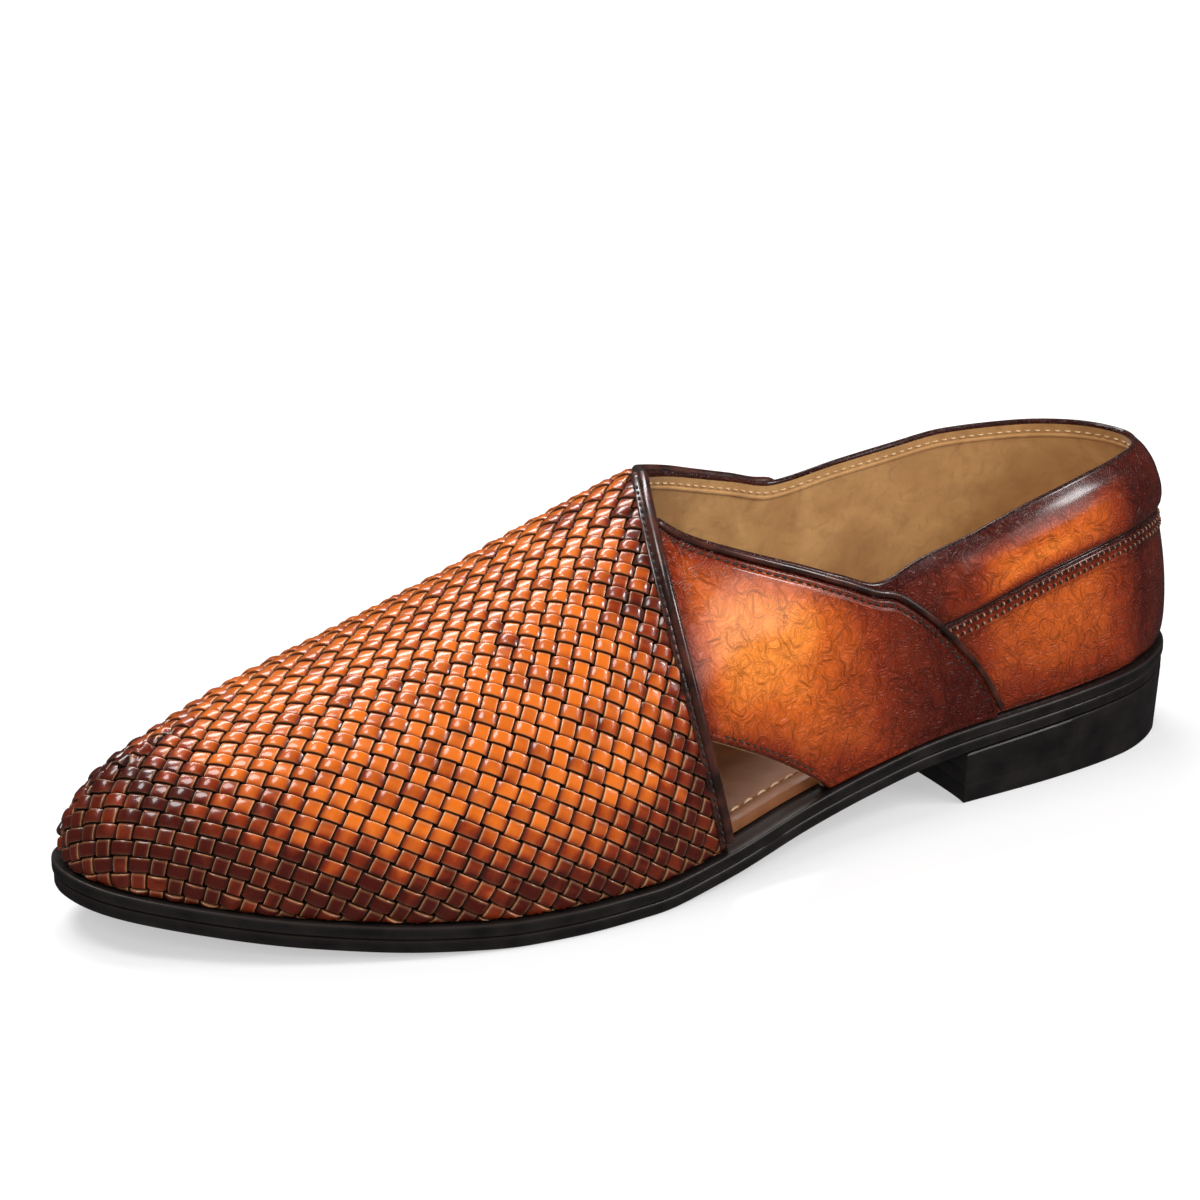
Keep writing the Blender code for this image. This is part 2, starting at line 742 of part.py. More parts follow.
def build_weave(material, collection):
    """Strips stand up as pillows at every other crossing; in between, the crossing strips lie lower."""
    front = EDGE_PLACE + (PIPING_RADIUS + GAP) / PER_PLACE
    columns = round((1 - front) * PER_PLACE / WEAVE_PITCH * 0.8)
    wing_first = 2 - (turn_of(WING_END) + END_STEP)
    wing_columns = round((wing_first - (2 - front)) * PER_PLACE / WEAVE_PITCH)
    numbers, outer, inner = {}, [], []

    def add_point(key, q, v, raised):
        if key not in numbers:
            numbers[key] = len(outer)
            outer.append(surface(q, v, LIFT + WEAVE_BASE + (WEAVE_RISE if raised else 0.0)))
            inner.append(surface(q, v, LIFT))
        return numbers[key]

    def outer_index(i, j):
        q = front + (1 - front) * i / columns
        return add_point((i, j), q, j / WEAVE_ROWS, (i + j) % 2 == 0)

    def inner_index(i, j):
        """Columns run on from the toe towards the heel, rows from the lower edge up."""
        if i <= columns:
            q = 1 + (1 - front) * i / columns
            low, top = wing_low_v(q), 1.0
        else:
            past = i - columns
            at_throat = 2 - front + THROAT_STEP * min(past, THROAT_COLUMNS)
            throat_end = 2 - front + THROAT_STEP * THROAT_COLUMNS
            q = at_throat + (wing_first - throat_end) * max(0, past - THROAT_COLUMNS) / wing_columns
            low, top = wing_low_v(q), wing_top_v(q)
        raised = (columns - i + j) % 2 == 0 and not 0 < i - columns < THROAT_COLUMNS
        if i == 0 or (j == WEAVE_ROWS and i <= columns):
            return outer_index(columns - i, j)
        even = low + (top - low) * j / WEAVE_ROWS
        kept = min(low + (1 - low) * j / WEAVE_ROWS, top - (WEAVE_ROWS - j) * LEAST_ROW)
        settled = min(1.0, max(0.0, (front - (2 - q)) / SETTLE_REACH))
        return add_point((columns + i, j), q, kept + (even - kept) * settled, raised)

    faces = grid_faces(outer_index, columns + 1, WEAVE_ROWS + 1)
    faces += grid_faces(inner_index, columns + THROAT_COLUMNS + wing_columns + 1, WEAVE_ROWS + 1)
    points, faces = walled(outer, inner, faces)
    return add_mesh("woven_vamp", points, faces, material, collection, smooth=False)


# Dark piping round the woven panel and cord along the strap
def build_bindings(material, collection):
    lift = LIFT + PIPING_RADIUS
    edge = [(EDGE_PLACE, v) for v in np.linspace(0.02, 0.97, 40)]
    over = []
    for turn in np.linspace(EDGE_PLACE - END_STEP, turn_of(WING_REAR[-1][0]), 48):
        over.append((2 - turn, wing_top_v(2 - turn)))
    wing = []
    for turn in np.linspace(turn_of(WING_REAR[-1][0]), turn_of(WING_END) + END_STEP, 24)[1:]:
        wing.append((2 - turn, wing_top_v(2 - turn)))
    up_edge = edge_route(edge, 0.005, 0.0, lift)
    up_edge.append(surface(EDGE_PLACE - 0.003, 1.0, lift))
    along_rim = edge_route(over + wing, 0.004, -(PIPING_RADIUS + LIFT + GAP), lift)
    add_tube("vamp_binding", up_edge + along_rim, PIPING_RADIUS, material, collection)
    lower = []
    for turn in np.linspace(turn_of(WING_FRONT) + 0.006, turn_of(WING_LOWER[-1][0]), 60):
        lower.append((2 - turn, wing_low_v(2 - turn)))
    lower_line = edge_route(lower, 0.005, -(PIPING_RADIUS + LIFT), lift)
    add_tube("wing_binding", lower_line, PIPING_RADIUS, material, collection)
    cord = []
    for q in np.linspace(REAR_OF_PIPING - END_STEP, place(STRAP_END) + END_STEP, 60):
        cord.append((q, strap_top_v(q)))
    cord_line = edge_route(cord, 0.004, CORD_RADIUS + LIFT + GAP, LIFT + CORD_RADIUS)
    add_tube("strap_cord", cord_line, CORD_RADIUS, material, collection)


def build_shoe():
    clear_scene()
    shoe = new_collection("peshawari_chappal")
    cutters = new_collection("cutters")
    cognac = leather("cognac_leather", (0.42, 0.13, 0.03), 0.35)
    woven = leather("woven_leather", (0.36, 0.09, 0.02), 0.38)
    dark = leather("dark_leather", (0.03, 0.012, 0.008), 0.40)
    black = leather("black_sole_leather", (0.012, 0.011, 0.011), 0.45)
    tan = leather("tan_insole_leather", (0.40, 0.22, 0.10), 0.60)
    add_plate("outsole", OUTSOLE_REVEAL, underside, OUTSOLE_THICKNESS, EDGE_ROUNDING, black, shoe)
    add_plate("welt", 0.0, lambda along: underside(along) + OUTSOLE_THICKNESS + GAP, WELT_THICKNESS,
              EDGE_ROUNDING, black, shoe)
    build_heel(black, shoe)
    add_plate("insole", WELT_LEDGE + WALL + 3 * GAP, lambda along: seat(along) + GAP, INSOLE_THICKNESS,
              0.0, tan, shoe)
    build_upper(cognac, shoe, cutters)
    build_strap(cognac, shoe)
    build_weave(woven, shoe)
    build_bindings(dark, shoe)


build_shoe()
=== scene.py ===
import math

import bpy
import numpy as np
from mathutils import Matrix, Vector


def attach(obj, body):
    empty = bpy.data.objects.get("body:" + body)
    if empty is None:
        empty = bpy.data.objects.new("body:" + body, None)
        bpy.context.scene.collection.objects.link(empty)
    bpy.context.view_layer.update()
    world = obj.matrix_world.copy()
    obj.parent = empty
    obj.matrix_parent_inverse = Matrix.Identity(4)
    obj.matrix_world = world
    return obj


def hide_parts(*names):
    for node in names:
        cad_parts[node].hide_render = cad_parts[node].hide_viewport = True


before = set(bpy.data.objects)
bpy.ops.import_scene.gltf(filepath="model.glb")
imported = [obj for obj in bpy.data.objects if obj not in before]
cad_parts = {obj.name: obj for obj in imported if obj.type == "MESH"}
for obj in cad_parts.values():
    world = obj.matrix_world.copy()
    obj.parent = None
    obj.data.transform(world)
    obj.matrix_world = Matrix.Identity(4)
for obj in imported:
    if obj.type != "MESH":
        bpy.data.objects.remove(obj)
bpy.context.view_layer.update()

# Sizes of the shoe, in metres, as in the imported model. The toe points along -X, the outer side along -Y.
LENGTH = 0.302
BALL_WIDTH = 0.106
WAIST_WIDTH = 0.070
HEEL_WIDTH = 0.066
TOE_SWING = 0.0047
HEEL_HEIGHT = 0.0175
TOE_SPRING = 0.0100
OUTSOLE_THICKNESS = 0.0032
WELT_THICKNESS = 0.0030
OUTSOLE_REVEAL = 0.0004
HEEL_BREAST = 0.081
HEEL_TAPER = 0.0012
INSOLE_THICKNESS = 0.0028
THROAT_HEIGHT = 0.0850
COLLAR_HEIGHT = 0.0765
LAST_TOP = 0.1020
WALL = 0.0016
WELT_LEDGE = 0.0042
HEEL_LEDGE = 0.0030
STRAP_THICKNESS = 0.0014
PIPING_RADIUS = 0.0013
CORD_RADIUS = 0.0008
EDGE_BOW = 0.019
COLLAR_ROLL = 0.0026
ROLL_HEIGHT = 0.0175
GAP = 0.0003
LIFT = 0.0005

# How far along the ribs bow, how full they swell, the groove's v in front, end steps and easing, as turns
BOW_REACH = 0.08
SWELL_POWER = 0.4
FRONT_GROOVE = 0.60
END_STEP = 0.004
RIM_EASE = 0.02

# Places along the shoe, as shares of its length from the heel back
VAMP_EDGE = 0.519
STRAP_END = 0.234
CUT_OUT_END = 0.410
WING_END = 0.195
WING_FRONT = 0.405


def table(rows):
    """A smooth function of arrays through rows of (place, value), with no overshoot between them."""
    xs = np.array([row[0] for row in rows], float)
    ys = np.array([row[1] for row in rows], float)
    steps = np.diff(xs)
    rises = np.diff(ys) / steps
    slopes = np.zeros(len(xs))
    slopes[0] = rises[0]
    slopes[-1] = rises[-1]
    for k in range(1, len(xs) - 1):
        before, after = rises[k - 1], rises[k]
        if before * after > 0:
            w0 = 2 * steps[k] + steps[k - 1]
            w1 = steps[k] + 2 * steps[k - 1]
            slopes[k] = (w0 + w1) / (w0 / before + w1 / after)

    def value(x):
        x = np.clip(x, xs[0], xs[-1])
        i = np.clip(np.searchsorted(xs, x, side="right") - 1, 0, len(steps) - 1)
        h = steps[i]
        s = (x - xs[i]) / h
        return ((1 + 2 * s) * (1 - s) ** 2 * ys[i] + s * (1 - s) ** 2 * h * slopes[i]
                + s * s * (3 - 2 * s) * ys[i + 1] + s * s * (s - 1) * h * slopes[i + 1])

    return value


def turn_of(along):
    """The outline's own parameter, 0 at the heel back and 1 at the toe tip."""
    return np.arccos(np.clip(1 - 2 * np.asarray(along, float), -1, 1)) / math.pi


def along_of(turn):
    return (1 - np.cos(math.pi * turn)) / 2


def x_of(along):
    return LENGTH * (0.5 - along)


def smooth(x):
    x = np.clip(x, 0, 1)
    return x * x * (3 - 2 * x)


def unit(vectors):
    return vectors / np.maximum(np.linalg.norm(vectors, axis=-1, keepdims=True), 1e-12)


def turn_at(q):
    """How far loop places q are from the heel's back, whichever side they are on."""
    return np.minimum(q % 2, 2 - q % 2)


# Footprint: share of the length, half width on the outer and the inner side, the width they are shares of
OUTLINE = (
    (0.000, 0.000, 0.000, HEEL_WIDTH),
    (0.030, 0.270, 0.275, HEEL_WIDTH),
    (0.090, 0.420, 0.420, HEEL_WIDTH),
    (0.180, 0.495, 0.485, HEEL_WIDTH),
    (0.300, 0.507, 0.440, WAIST_WIDTH),
    (0.360, 0.540, 0.440, WAIST_WIDTH),
    (0.420, 0.585, 0.460, WAIST_WIDTH),
    (0.540, 0.474, 0.385, BALL_WIDTH),
    (0.600, 0.510, 0.436, BALL_WIDTH),
    (0.660, 0.524, 0.462, BALL_WIDTH),
    (0.710, 0.515, 0.468, BALL_WIDTH),
    (0.760, 0.486, 0.455, BALL_WIDTH),
    (0.860, 0.378, 0.362, BALL_WIDTH),
    (0.940, 0.246, 0.236, BALL_WIDTH),
    (0.985, 0.137, 0.131, BALL_WIDTH),
    (1.000, 0.000, 0.000, BALL_WIDTH),
)
outer_half = table([(turn_of(a), outer * w) for a, outer, inner, w in OUTLINE])
inner_half = table([(turn_of(a), inner * w) for a, outer, inner, w in OUTLINE])
swing = table([(0.55, 0.0), (0.80, 0.30 * TOE_SWING), (0.92, 0.8 * TOE_SWING), (1.0, TOE_SWING)])

# Underside of the outsole: share of the length, height, the height it is a share of
UNDERSIDE = (
    (0.000, 1.00, HEEL_HEIGHT),
    (0.265, 0.78, HEEL_HEIGHT),
    (0.310, 0.71, HEEL_HEIGHT),
    (0.370, 0.56, HEEL_HEIGHT),
    (0.440, 0.36, HEEL_HEIGHT),
    (0.520, 0.13, HEEL_HEIGHT),
    (0.600, 0.00, HEEL_HEIGHT),
    (0.700, 0.00, TOE_SPRING),
    (0.780, 0.12, TOE_SPRING),
    (0.860, 0.36, TOE_SPRING),
    (0.930, 0.66, TOE_SPRING),
    (1.000, 1.00, TOE_SPRING),
)
underside = table([(a, share * height) for a, share, height in UNDERSIDE])
ledge = table([(0.0, HEEL_LEDGE), (0.30, HEEL_LEDGE), (0.50, WELT_LEDGE), (1.0, WELT_LEDGE)])


def seat(along):
    """Height of the welt's top face, where the upper stands."""
    return underside(along) + OUTSOLE_THICKNESS + GAP + WELT_THICKNESS


def footprint(q, inset=0.0):
    """Plan points at loop places q: from 0 at the heel back by the outer side to 1 at the toe tip, on to 2."""
    def edge(p):
        p = p % 2.0
        turn = np.minimum(p, 2 - p)
        side = np.where(p <= 1, -outer_half(turn), inner_half(turn))
        return np.stack([x_of(along_of(turn)), swing(turn) + side], axis=-1)

    q = np.asarray(q, float)
    ahead = unit(edge(q + 0.002) - edge(q - 0.002))
    return edge(q) + np.asarray(inset)[..., None] * np.stack([ahead[..., 1], -ahead[..., 0]], axis=-1)


SIDES = footprint(2 * np.arange(400) / 400)[:, 1]
SIDE_SHIFT = -(SIDES.min() + SIDES.max()) / 2

# Crest of the last: share of the length, height, lean to the inner side
CREST = (
    (0.060, 0.975, LAST_TOP, 0.0000),
    (0.200, 1.000, LAST_TOP, 0.0000),
    (0.350, 0.950, LAST_TOP, 0.0005),
    (0.440, 1.075, THROAT_HEIGHT, 0.0015),
    (0.507, 1.000, THROAT_HEIGHT, 0.0020),
    (0.581, 0.892, THROAT_HEIGHT, 0.0030),
    (0.660, 0.770, THROAT_HEIGHT, 0.0040),
    (0.740, 0.673, THROAT_HEIGHT, 0.0045),
    (0.820, 0.592, THROAT_HEIGHT, 0.0045),
    (0.895, 0.508, THROAT_HEIGHT, 0.0045),
)
crest_height = table([(a, share * height) for a, share, height, lean in CREST])
crest_side = table([(a, lean) for a, share, height, lean in CREST])

# Ribs of the last: share of the length at the foot and at the top, how boxy on the outer and inner side, swell
RIBS = (
    (0.00, 0.115, 2.20, 2.20, 0.0030),
    (0.05, 0.135, 2.20, 2.20, 0.0028),
    (0.12, 0.175, 2.20, 2.20, 0.0024),
    (0.20, 0.230, 2.15, 2.20, 0.0018),
    (0.30, 0.310, 2.05, 2.15, 0.0014),
    (0.45, 0.450, 2.05, 2.10, 0.0012),
    (0.525, 0.507, 2.10, 2.00, 0.0014),
    (0.65, 0.620, 2.20, 2.00, 0.0016),
    (0.78, 0.735, 2.20, 2.00, 0.0015),
    (0.88, 0.815, 2.20, 2.10, 0.0012),
    (0.95, 0.865, 2.15, 2.15, 0.0010),
    (1.00, 0.895, 2.15, 2.15, 0.0008),
)
rib_top = table([(turn_of(foot), top) for foot, top, outer, inner, swell in RIBS])
rib_outer_box = table([(turn_of(foot), outer) for foot, top, outer, inner, swell in RIBS])
rib_inner_box = table([(turn_of(foot), inner) for foot, top, outer, inner, swell in RIBS])
rib_swell = table([(turn_of(foot), swell) for foot, top, outer, inner, swell in RIBS])


def reach_angle(rise, run, slope, power):
    """Where on its quarter round a rib stops, so that it meets the crest at the crest's own slope."""
    low = np.full(rise.shape, math.radians(40))
    high = np.full(rise.shape, math.pi / 2)
    for halving in range(30):
        middle = (low + high) / 2
        cosine, sine = np.cos(middle), np.sin(middle)
        steep = rise / run * cosine ** (2 - power) * (1 - cosine ** power) / sine ** 2 > slope
        low = np.where(steep, middle, low)
        high = np.where(steep, high, middle)
    return np.where(slope <= 0, math.pi / 2, low)


RIB_STEPS = 8000


def rib_rows():
    """What stays the same along each rib: foot, crest point, low, high, power, reach, swell, inward."""
    q = np.linspace(0, 2, RIB_STEPS + 1)
    turn = np.minimum(q, 2 - q)
    along = along_of(turn)
    foot = footprint(q, ledge(along))
    inward = unit(footprint(q, ledge(along) + 0.001) - foot)
    top = rib_top(turn)
    crest = np.stack([x_of(top), crest_side(top)], axis=-1)
    power = 2 / np.where(q > 1, rib_inner_box(turn), rib_outer_box(turn))
    low, high = seat(along) + GAP, crest_height(top)
    run = np.hypot(*(crest - foot).T)
    step = 0.004
    rise = (crest_height(top - step) - crest_height(top + step)) / (2 * step * LENGTH)
    reach = reach_angle(high - low, run, rise * (crest - foot)[:, 0] / run, power)
    return np.column_stack([foot, crest, low, high, power, reach, rib_swell(turn), inward])


RIB_ROWS = rib_rows()
EDGE_PLACE = float(turn_of(VAMP_EDGE))
PER_PLACE = LENGTH * math.pi / 2
REAR_OF_PIPING = EDGE_PLACE - (PIPING_RADIUS + GAP) / PER_PLACE


def ribs(q, v):
    """Rows of the ribs that (q, v) lies on: near the woven panel's outer edge they bow towards the toe."""
    q = q % 2.0
    near = np.exp(-((q - EDGE_PLACE) / BOW_REACH) ** 2)
    q = np.where(q < 1.0, q + EDGE_BOW * near * 4 * v * (1 - v), q)
    spot = np.clip(q / 2 * RIB_STEPS, 0, RIB_STEPS - 1e-6)
    i = spot.astype(int)
    part = (spot - i)[..., None]
    return RIB_ROWS[i] * (1 - part) + RIB_ROWS[i + 1] * part


def last_point(q, v):
    """Points of the last's surface at loop places q, with v from 0 at the welt to 1 at the crest."""
    q, v = np.broadcast_arrays(np.asarray(q, float), np.clip(v, 0, 1))
    rows = ribs(q, v)
    foot, crest, inward = rows[..., 0:2], rows[..., 2:4], rows[..., 9:11]
    low, high, power, reach, swell = [rows[..., k] for k in range(4, 9)]
    angle = v * reach
    across = (1 - np.cos(angle) ** power) / (1 - np.cos(reach) ** power)
    rise = (np.sin(angle) / np.sin(reach)) ** power
    bulge = swell * np.sin(math.pi * np.minimum(1.0, rise ** SWELL_POWER))
    plan = foot + (crest - foot) * across[..., None] - inward * bulge[..., None]
    return np.concatenate([plan, (low + (high - low) * rise)[..., None]], axis=-1)


def level(q, height):
    """The v at which the surface at q reaches a height above the floor."""
    q = np.asarray(q, float)
    v = np.full(q.shape, 0.5)
    for step in range(4):
        rows = ribs(q, v)
        share = np.clip((height - rows[..., 4]) / (rows[..., 5] - rows[..., 4]), 0, 1)
        v = np.arcsin(np.minimum(1.0, share ** (1 / rows[..., 6]) * np.sin(rows[..., 7]))) / rows[..., 7]
    return v


def outward(q, v):
    """Unit normals of the last's surface, both sides' mean on the crest."""
    def one_side(q, v):
        ahead = last_point(q + 0.003, v) - last_point(q - 0.003, v)
        rising = last_point(q, np.minimum(1.0, v + 0.01)) - last_point(q, np.maximum(0.004, v - 0.01))
        return unit(np.cross(rising, ahead))

    q, v = np.broadcast_arrays(np.asarray(q, float), np.maximum(v, 0.004))
    share = 0.5 * smooth((v - 0.94) / 0.06)[..., None]
    return unit(one_side(q, v) * (1 - share) + one_side(2 - q, v) * share)


# Edges of the pieces of the upper: share of the length, height as a share of the collar's height
OUTER_RIM = (
    (0.000, 1.000), (0.052, 1.000), (0.100, 0.985), (0.161, 0.950), (0.210, 0.910), (0.251, 0.868),
    (0.302, 0.826), (0.343, 0.782), (0.376, 0.832), (0.410, 0.893), (0.454, 0.963), (0.499, 1.025),
    (0.519, 1.060),
)
INNER_RIM = (
    (0.000, 1.000), (0.100, 1.015), (0.160, 1.012), (0.220, 0.990), (0.277, 0.970), (0.342, 0.938),
    (0.387, 0.985), (0.423, 1.025), (0.450, 1.055), (0.519, 1.108),
)
STRAP_LOWER = (
    (CUT_OUT_END, 0.190), (0.418, 0.222), (0.435, 0.277), (0.457, 0.342), (0.485, 0.413), (0.512, 0.470),
    (0.545, 0.515),
)
STRAP_REAR = (
    (STRAP_END, 0.270), (0.247, 0.363), (0.267, 0.477), (0.293, 0.593), (0.322, 0.701), (0.343, 0.782),
)
WING_REAR = (
    (WING_END, 0.290), (0.215, 0.410), (0.240, 0.530), (0.290, 0.735), (0.342, 0.900),
)
WING_LOWER = (
    (WING_FRONT, 0.190), (0.430, 0.300), (0.470, 0.400), (0.530, 0.460), (0.620, 0.465), (0.720, 0.430),
    (0.800, 0.410), (0.880, 0.375), (0.930, 0.335), (0.965, 0.300), (0.988, 0.270),
)


def heights(rows):
    return table([(turn_of(a), share * COLLAR_HEIGHT) for a, share in rows])


outer_rim = heights(OUTER_RIM)
inner_rim = heights(INNER_RIM)
strap_lower = heights(STRAP_LOWER)
strap_rear = heights(STRAP_REAR)
wing_rear = heights(WING_REAR)
wing_lower = heights(WING_LOWER)
STRAP_DIP = float(turn_of(STRAP_REAR[-1][0]))
WING_DIP = float(turn_of(WING_REAR[-1][0]))
CUT_OUT_PLACE = float(turn_of(CUT_OUT_END))
STRAP_PLACE = float(turn_of(STRAP_END)) + END_STEP
WING_PLACE = float(turn_of(WING_END)) + END_STEP

# Across the padded roll, from its groove up to the rim: place, share of the roll's standing out
roll_shape = table([(0.0, 0.0), (0.16, 0.80), (0.34, 1.00), (0.55, 0.95), (0.80, 0.62), (1.0, 0.05)])
outer_roll_fade = table([(turn_of(0.270), 1.0), (turn_of(0.330), 0.0)])
inner_roll_fade = table([(turn_of(0.240), 1.0), (turn_of(0.290), 0.0)])


def rim_and_groove(q):
    """The v of the upper's rim at q, and of the groove under the padded roll."""
    q = q % 2.0
    turn = np.minimum(q, 2 - q)
    rim = np.where(q > 1, inner_rim(turn), outer_rim(turn))
    closed = turn > REAR_OF_PIPING
    return np.where(closed, 1.0, level(q, rim)), np.where(closed, FRONT_GROOVE, level(q, rim - ROLL_HEIGHT))


def padding(q, v):
    """How far the collar roll stands out of the last."""
    q = np.asarray(q, float) % 2.0
    fade = np.where(q > 1, inner_roll_fade(2 - q), outer_roll_fade(q))
    top, groove = rim_and_groove(q)
    return COLLAR_ROLL * fade * roll_shape((v - groove) / (top - groove))


def surface(q, v, out=0.0, padded=True):
    """Points out from the last's surface, in the frame; below v = 0 they run on down into the welt."""
    q, v = np.broadcast_arrays(np.asarray(q, float), np.asarray(v, float))
    out = np.broadcast_to(np.asarray(out, float), v.shape)
    if padded:
        out = out + padding(q, v)
    point = last_point(q, v) + out[..., None] * outward(q, v)
    floor = seat(0.5 - point[..., 0] / LENGTH) + GAP
    point[..., 2] = np.where(v <= 0, floor, np.maximum(point[..., 2], floor))
    point[..., 1] += SIDE_SHIFT
    return point


def wing_top_v(q):
    turn = 2 - q
    room = np.minimum(1.0, (EDGE_PLACE - turn) / RIM_EASE)
    at_rim = level(q, inner_rim(turn) - np.maximum(0, room) * (2 * PIPING_RADIUS + GAP))
    at_rear = level(q, wing_rear(turn))
    return np.where(turn < WING_DIP, at_rear, np.where(turn > EDGE_PLACE, 1.0, at_rim))


def wing_low_v(q):
    turn = 2 - q
    last = float(turn_of(WING_LOWER[-1][0]))
    fade = np.clip((1 - turn) / (1 - last), 0, 1)
    low = level(q, wing_lower(turn)) * np.where(turn > last, fade, 1.0)
    return np.where(turn < turn_of(WING_FRONT), 0.0, low)


def strap_top_v(q):
    """The strap's edge: under the rim in front, then round and down the rear edge in one soft curve."""
    under_rim = outer_rim(q) - (2 * CORD_RADIUS + LIFT + GAP)
    rear = strap_rear(q) + np.maximum(0.0, q - STRAP_DIP) * 0.5
    softness = 0.0034
    apart = np.sqrt((rear - under_rim) ** 2 + softness ** 2)
    return level(q, (rear + under_rim - apart) / 2)


def strap_low_v(q):
    return np.where(q < CUT_OUT_PLACE, 0.0, level(q, strap_lower(q)))


# Building of meshes and pieces
def new_piece(name, points, faces, materials, stands_for=(), values=None, face_slots=None, sharp=None):
    mesh = bpy.data.meshes.new(name)
    mesh.from_pydata(np.asarray(points).tolist(), [], faces)
    for material in materials:
        mesh.materials.append(material)
    mesh.shade_smooth()
    if sharp:
        mesh.set_sharp_from_angle(angle=math.radians(sharp))
    if face_slots is not None:
        mesh.polygons.foreach_set("material_index", face_slots)
    for key, numbers in (values or {}).items():
        layer = mesh.attributes.new(key, "FLOAT", "POINT")
        layer.data.foreach_set("value", np.asarray(numbers, np.float32).ravel())
    piece = bpy.data.objects.new(name, mesh)
    bpy.context.scene.collection.objects.link(piece)
    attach(piece, "root")
    if stands_for:
        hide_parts(*stands_for)
    return piece


def grid_faces(columns, rows, keep=None, round_again=False, first=0):
    """Quads over points in column order, facing outwards; keep says which cells stay."""
    faces = []
    last = columns if round_again else columns - 1
    for i in range(last):
        k = (i + 1) % columns
        for j in range(rows - 1):
            if keep is None or keep[i, j]:
                faces.append((first + i * rows + j, first + i * rows + j + 1,
                              first + k * rows + j + 1, first + k * rows + j))
    return faces


def flipped(faces):
    return [tuple(reversed(face)) for face in faces]


def even_route(points, spacing, passes=0):
    """Points spaced evenly along a polyline, with its corners softened."""
    points = np.asarray(points)
    for step in range(2):
        travelled = np.concatenate([[0], np.cumsum(np.linalg.norm(np.diff(points, axis=0), axis=1))])
        count = max(2, int(round(travelled[-1] / spacing))) + 1
        wanted = np.linspace(0, travelled[-1], count)
        points = np.stack([np.interp(wanted, travelled, points[:, k]) for k in range(points.shape[1])], axis=-1)
        for softening in range(passes if step == 0 else 0):
            points[1:-1] = (points[:-2] + 2 * points[1:-1] + points[2:]) / 4
    return points


def edge_route(q, v, aside, out, spacing, passes=0):
    """Points and normals over an edge given as (q, v) places, moved to its left and lifted off the surface."""
    points, normals = surface(q, v), outward(q, v)
    ahead = unit(np.gradient(points, axis=0))
    moved = points + unit(np.cross(normals, ahead)) * aside + normals * np.reshape(out, (-1, 1))
    route = even_route(np.hstack([moved, normals]), spacing, passes)
    return route[:, :3], unit(route[:, 3:])


def tube_mesh(points, normals, across, high, sides=12, first=0):
    """A closed tube of oval section along a route, drawn in at both ends."""
    ahead = unit(np.gradient(points, axis=0))
    side = unit(np.cross(normals, ahead))
    rise = unit(np.cross(ahead, side))
    count = len(points)
    travelled = np.concatenate([[0], np.cumsum(np.linalg.norm(np.diff(points, axis=0), axis=1))])
    to_end = np.minimum(travelled, travelled[-1] - travelled)
    draw = np.sqrt(np.clip(1 - (1 - np.minimum(1.0, to_end / high)) ** 2, 0.02, 1))
    turn = np.arange(sides) * 2 * math.pi / sides
    rings = (points[:, None] + side[:, None] * (np.cos(turn) * across)[None, :, None] * draw[:, None, None]
             + rise[:, None] * (np.sin(turn) * high)[None, :, None] * draw[:, None, None])
    faces = []
    for i in range(count - 1):
        for j in range(sides):
            k = (j + 1) % sides
            faces.append((first + i * sides + j, first + i * sides + k,
                          first + (i + 1) * sides + k, first + (i + 1) * sides + j))
    faces.append(tuple(first + j for j in reversed(range(sides))))
    faces.append(tuple(first + (count - 1) * sides + j for j in range(sides)))
    return rings.reshape(-1, 3), flipped(faces)


def stitch_mesh(points, normals, length, pitch, thickness):
    """Stitches along a route, each a small rounded bar that dips into the leather at both ends."""
    travelled = np.concatenate([[0], np.cumsum(np.linalg.norm(np.diff(points, axis=0), axis=1))])
    both = np.hstack([points, normals])
    count = int(travelled[-1] / pitch)
    sides, rings = 6, 7
    all_points, faces = [], []
    for n in range(count):
        middle = (n + 0.5) * travelled[-1] / count
        share = np.linspace(-1, 1, rings)
        at = middle + share * length / 2
        row = np.stack([np.interp(at, travelled, both[:, k]) for k in range(6)], axis=-1)
        centre, up = row[:, :3], unit(row[:, 3:])
        ahead = unit(np.gradient(centre, axis=0))
        side = np.cross(up, ahead)
        size = thickness * np.sqrt(np.clip(1 - share ** 4, 0.03, 1))
        lift = thickness * (0.35 - 0.9 * share ** 2)
        turn = np.arange(sides) * 2 * math.pi / sides
        ring = (centre[:, None] + up[:, None] * (lift[:, None] + size[:, None] * np.sin(turn))[..., None]
                + side[:, None] * (size[:, None] * np.cos(turn))[..., None])
        first = len(all_points) * sides * rings
        all_points.append(ring.reshape(-1, 3))
        for i in range(rings - 1):
            for j in range(sides):
                k = (j + 1) % sides
                faces.append((first + i * sides + j, first + (i + 1) * sides + j,
                              first + (i + 1) * sides + k, first + i * sides + k))
    return np.concatenate(all_points), faces


def joined(parts):
    """One list of points and faces from several (points, faces)."""
    points, faces, first = [], [], 0
    for part_points, part_faces in parts:
        points.append(part_points)
        faces += [tuple(i + first for i in face) for face in part_faces]
        first += len(part_points)
    return np.concatenate(points), faces


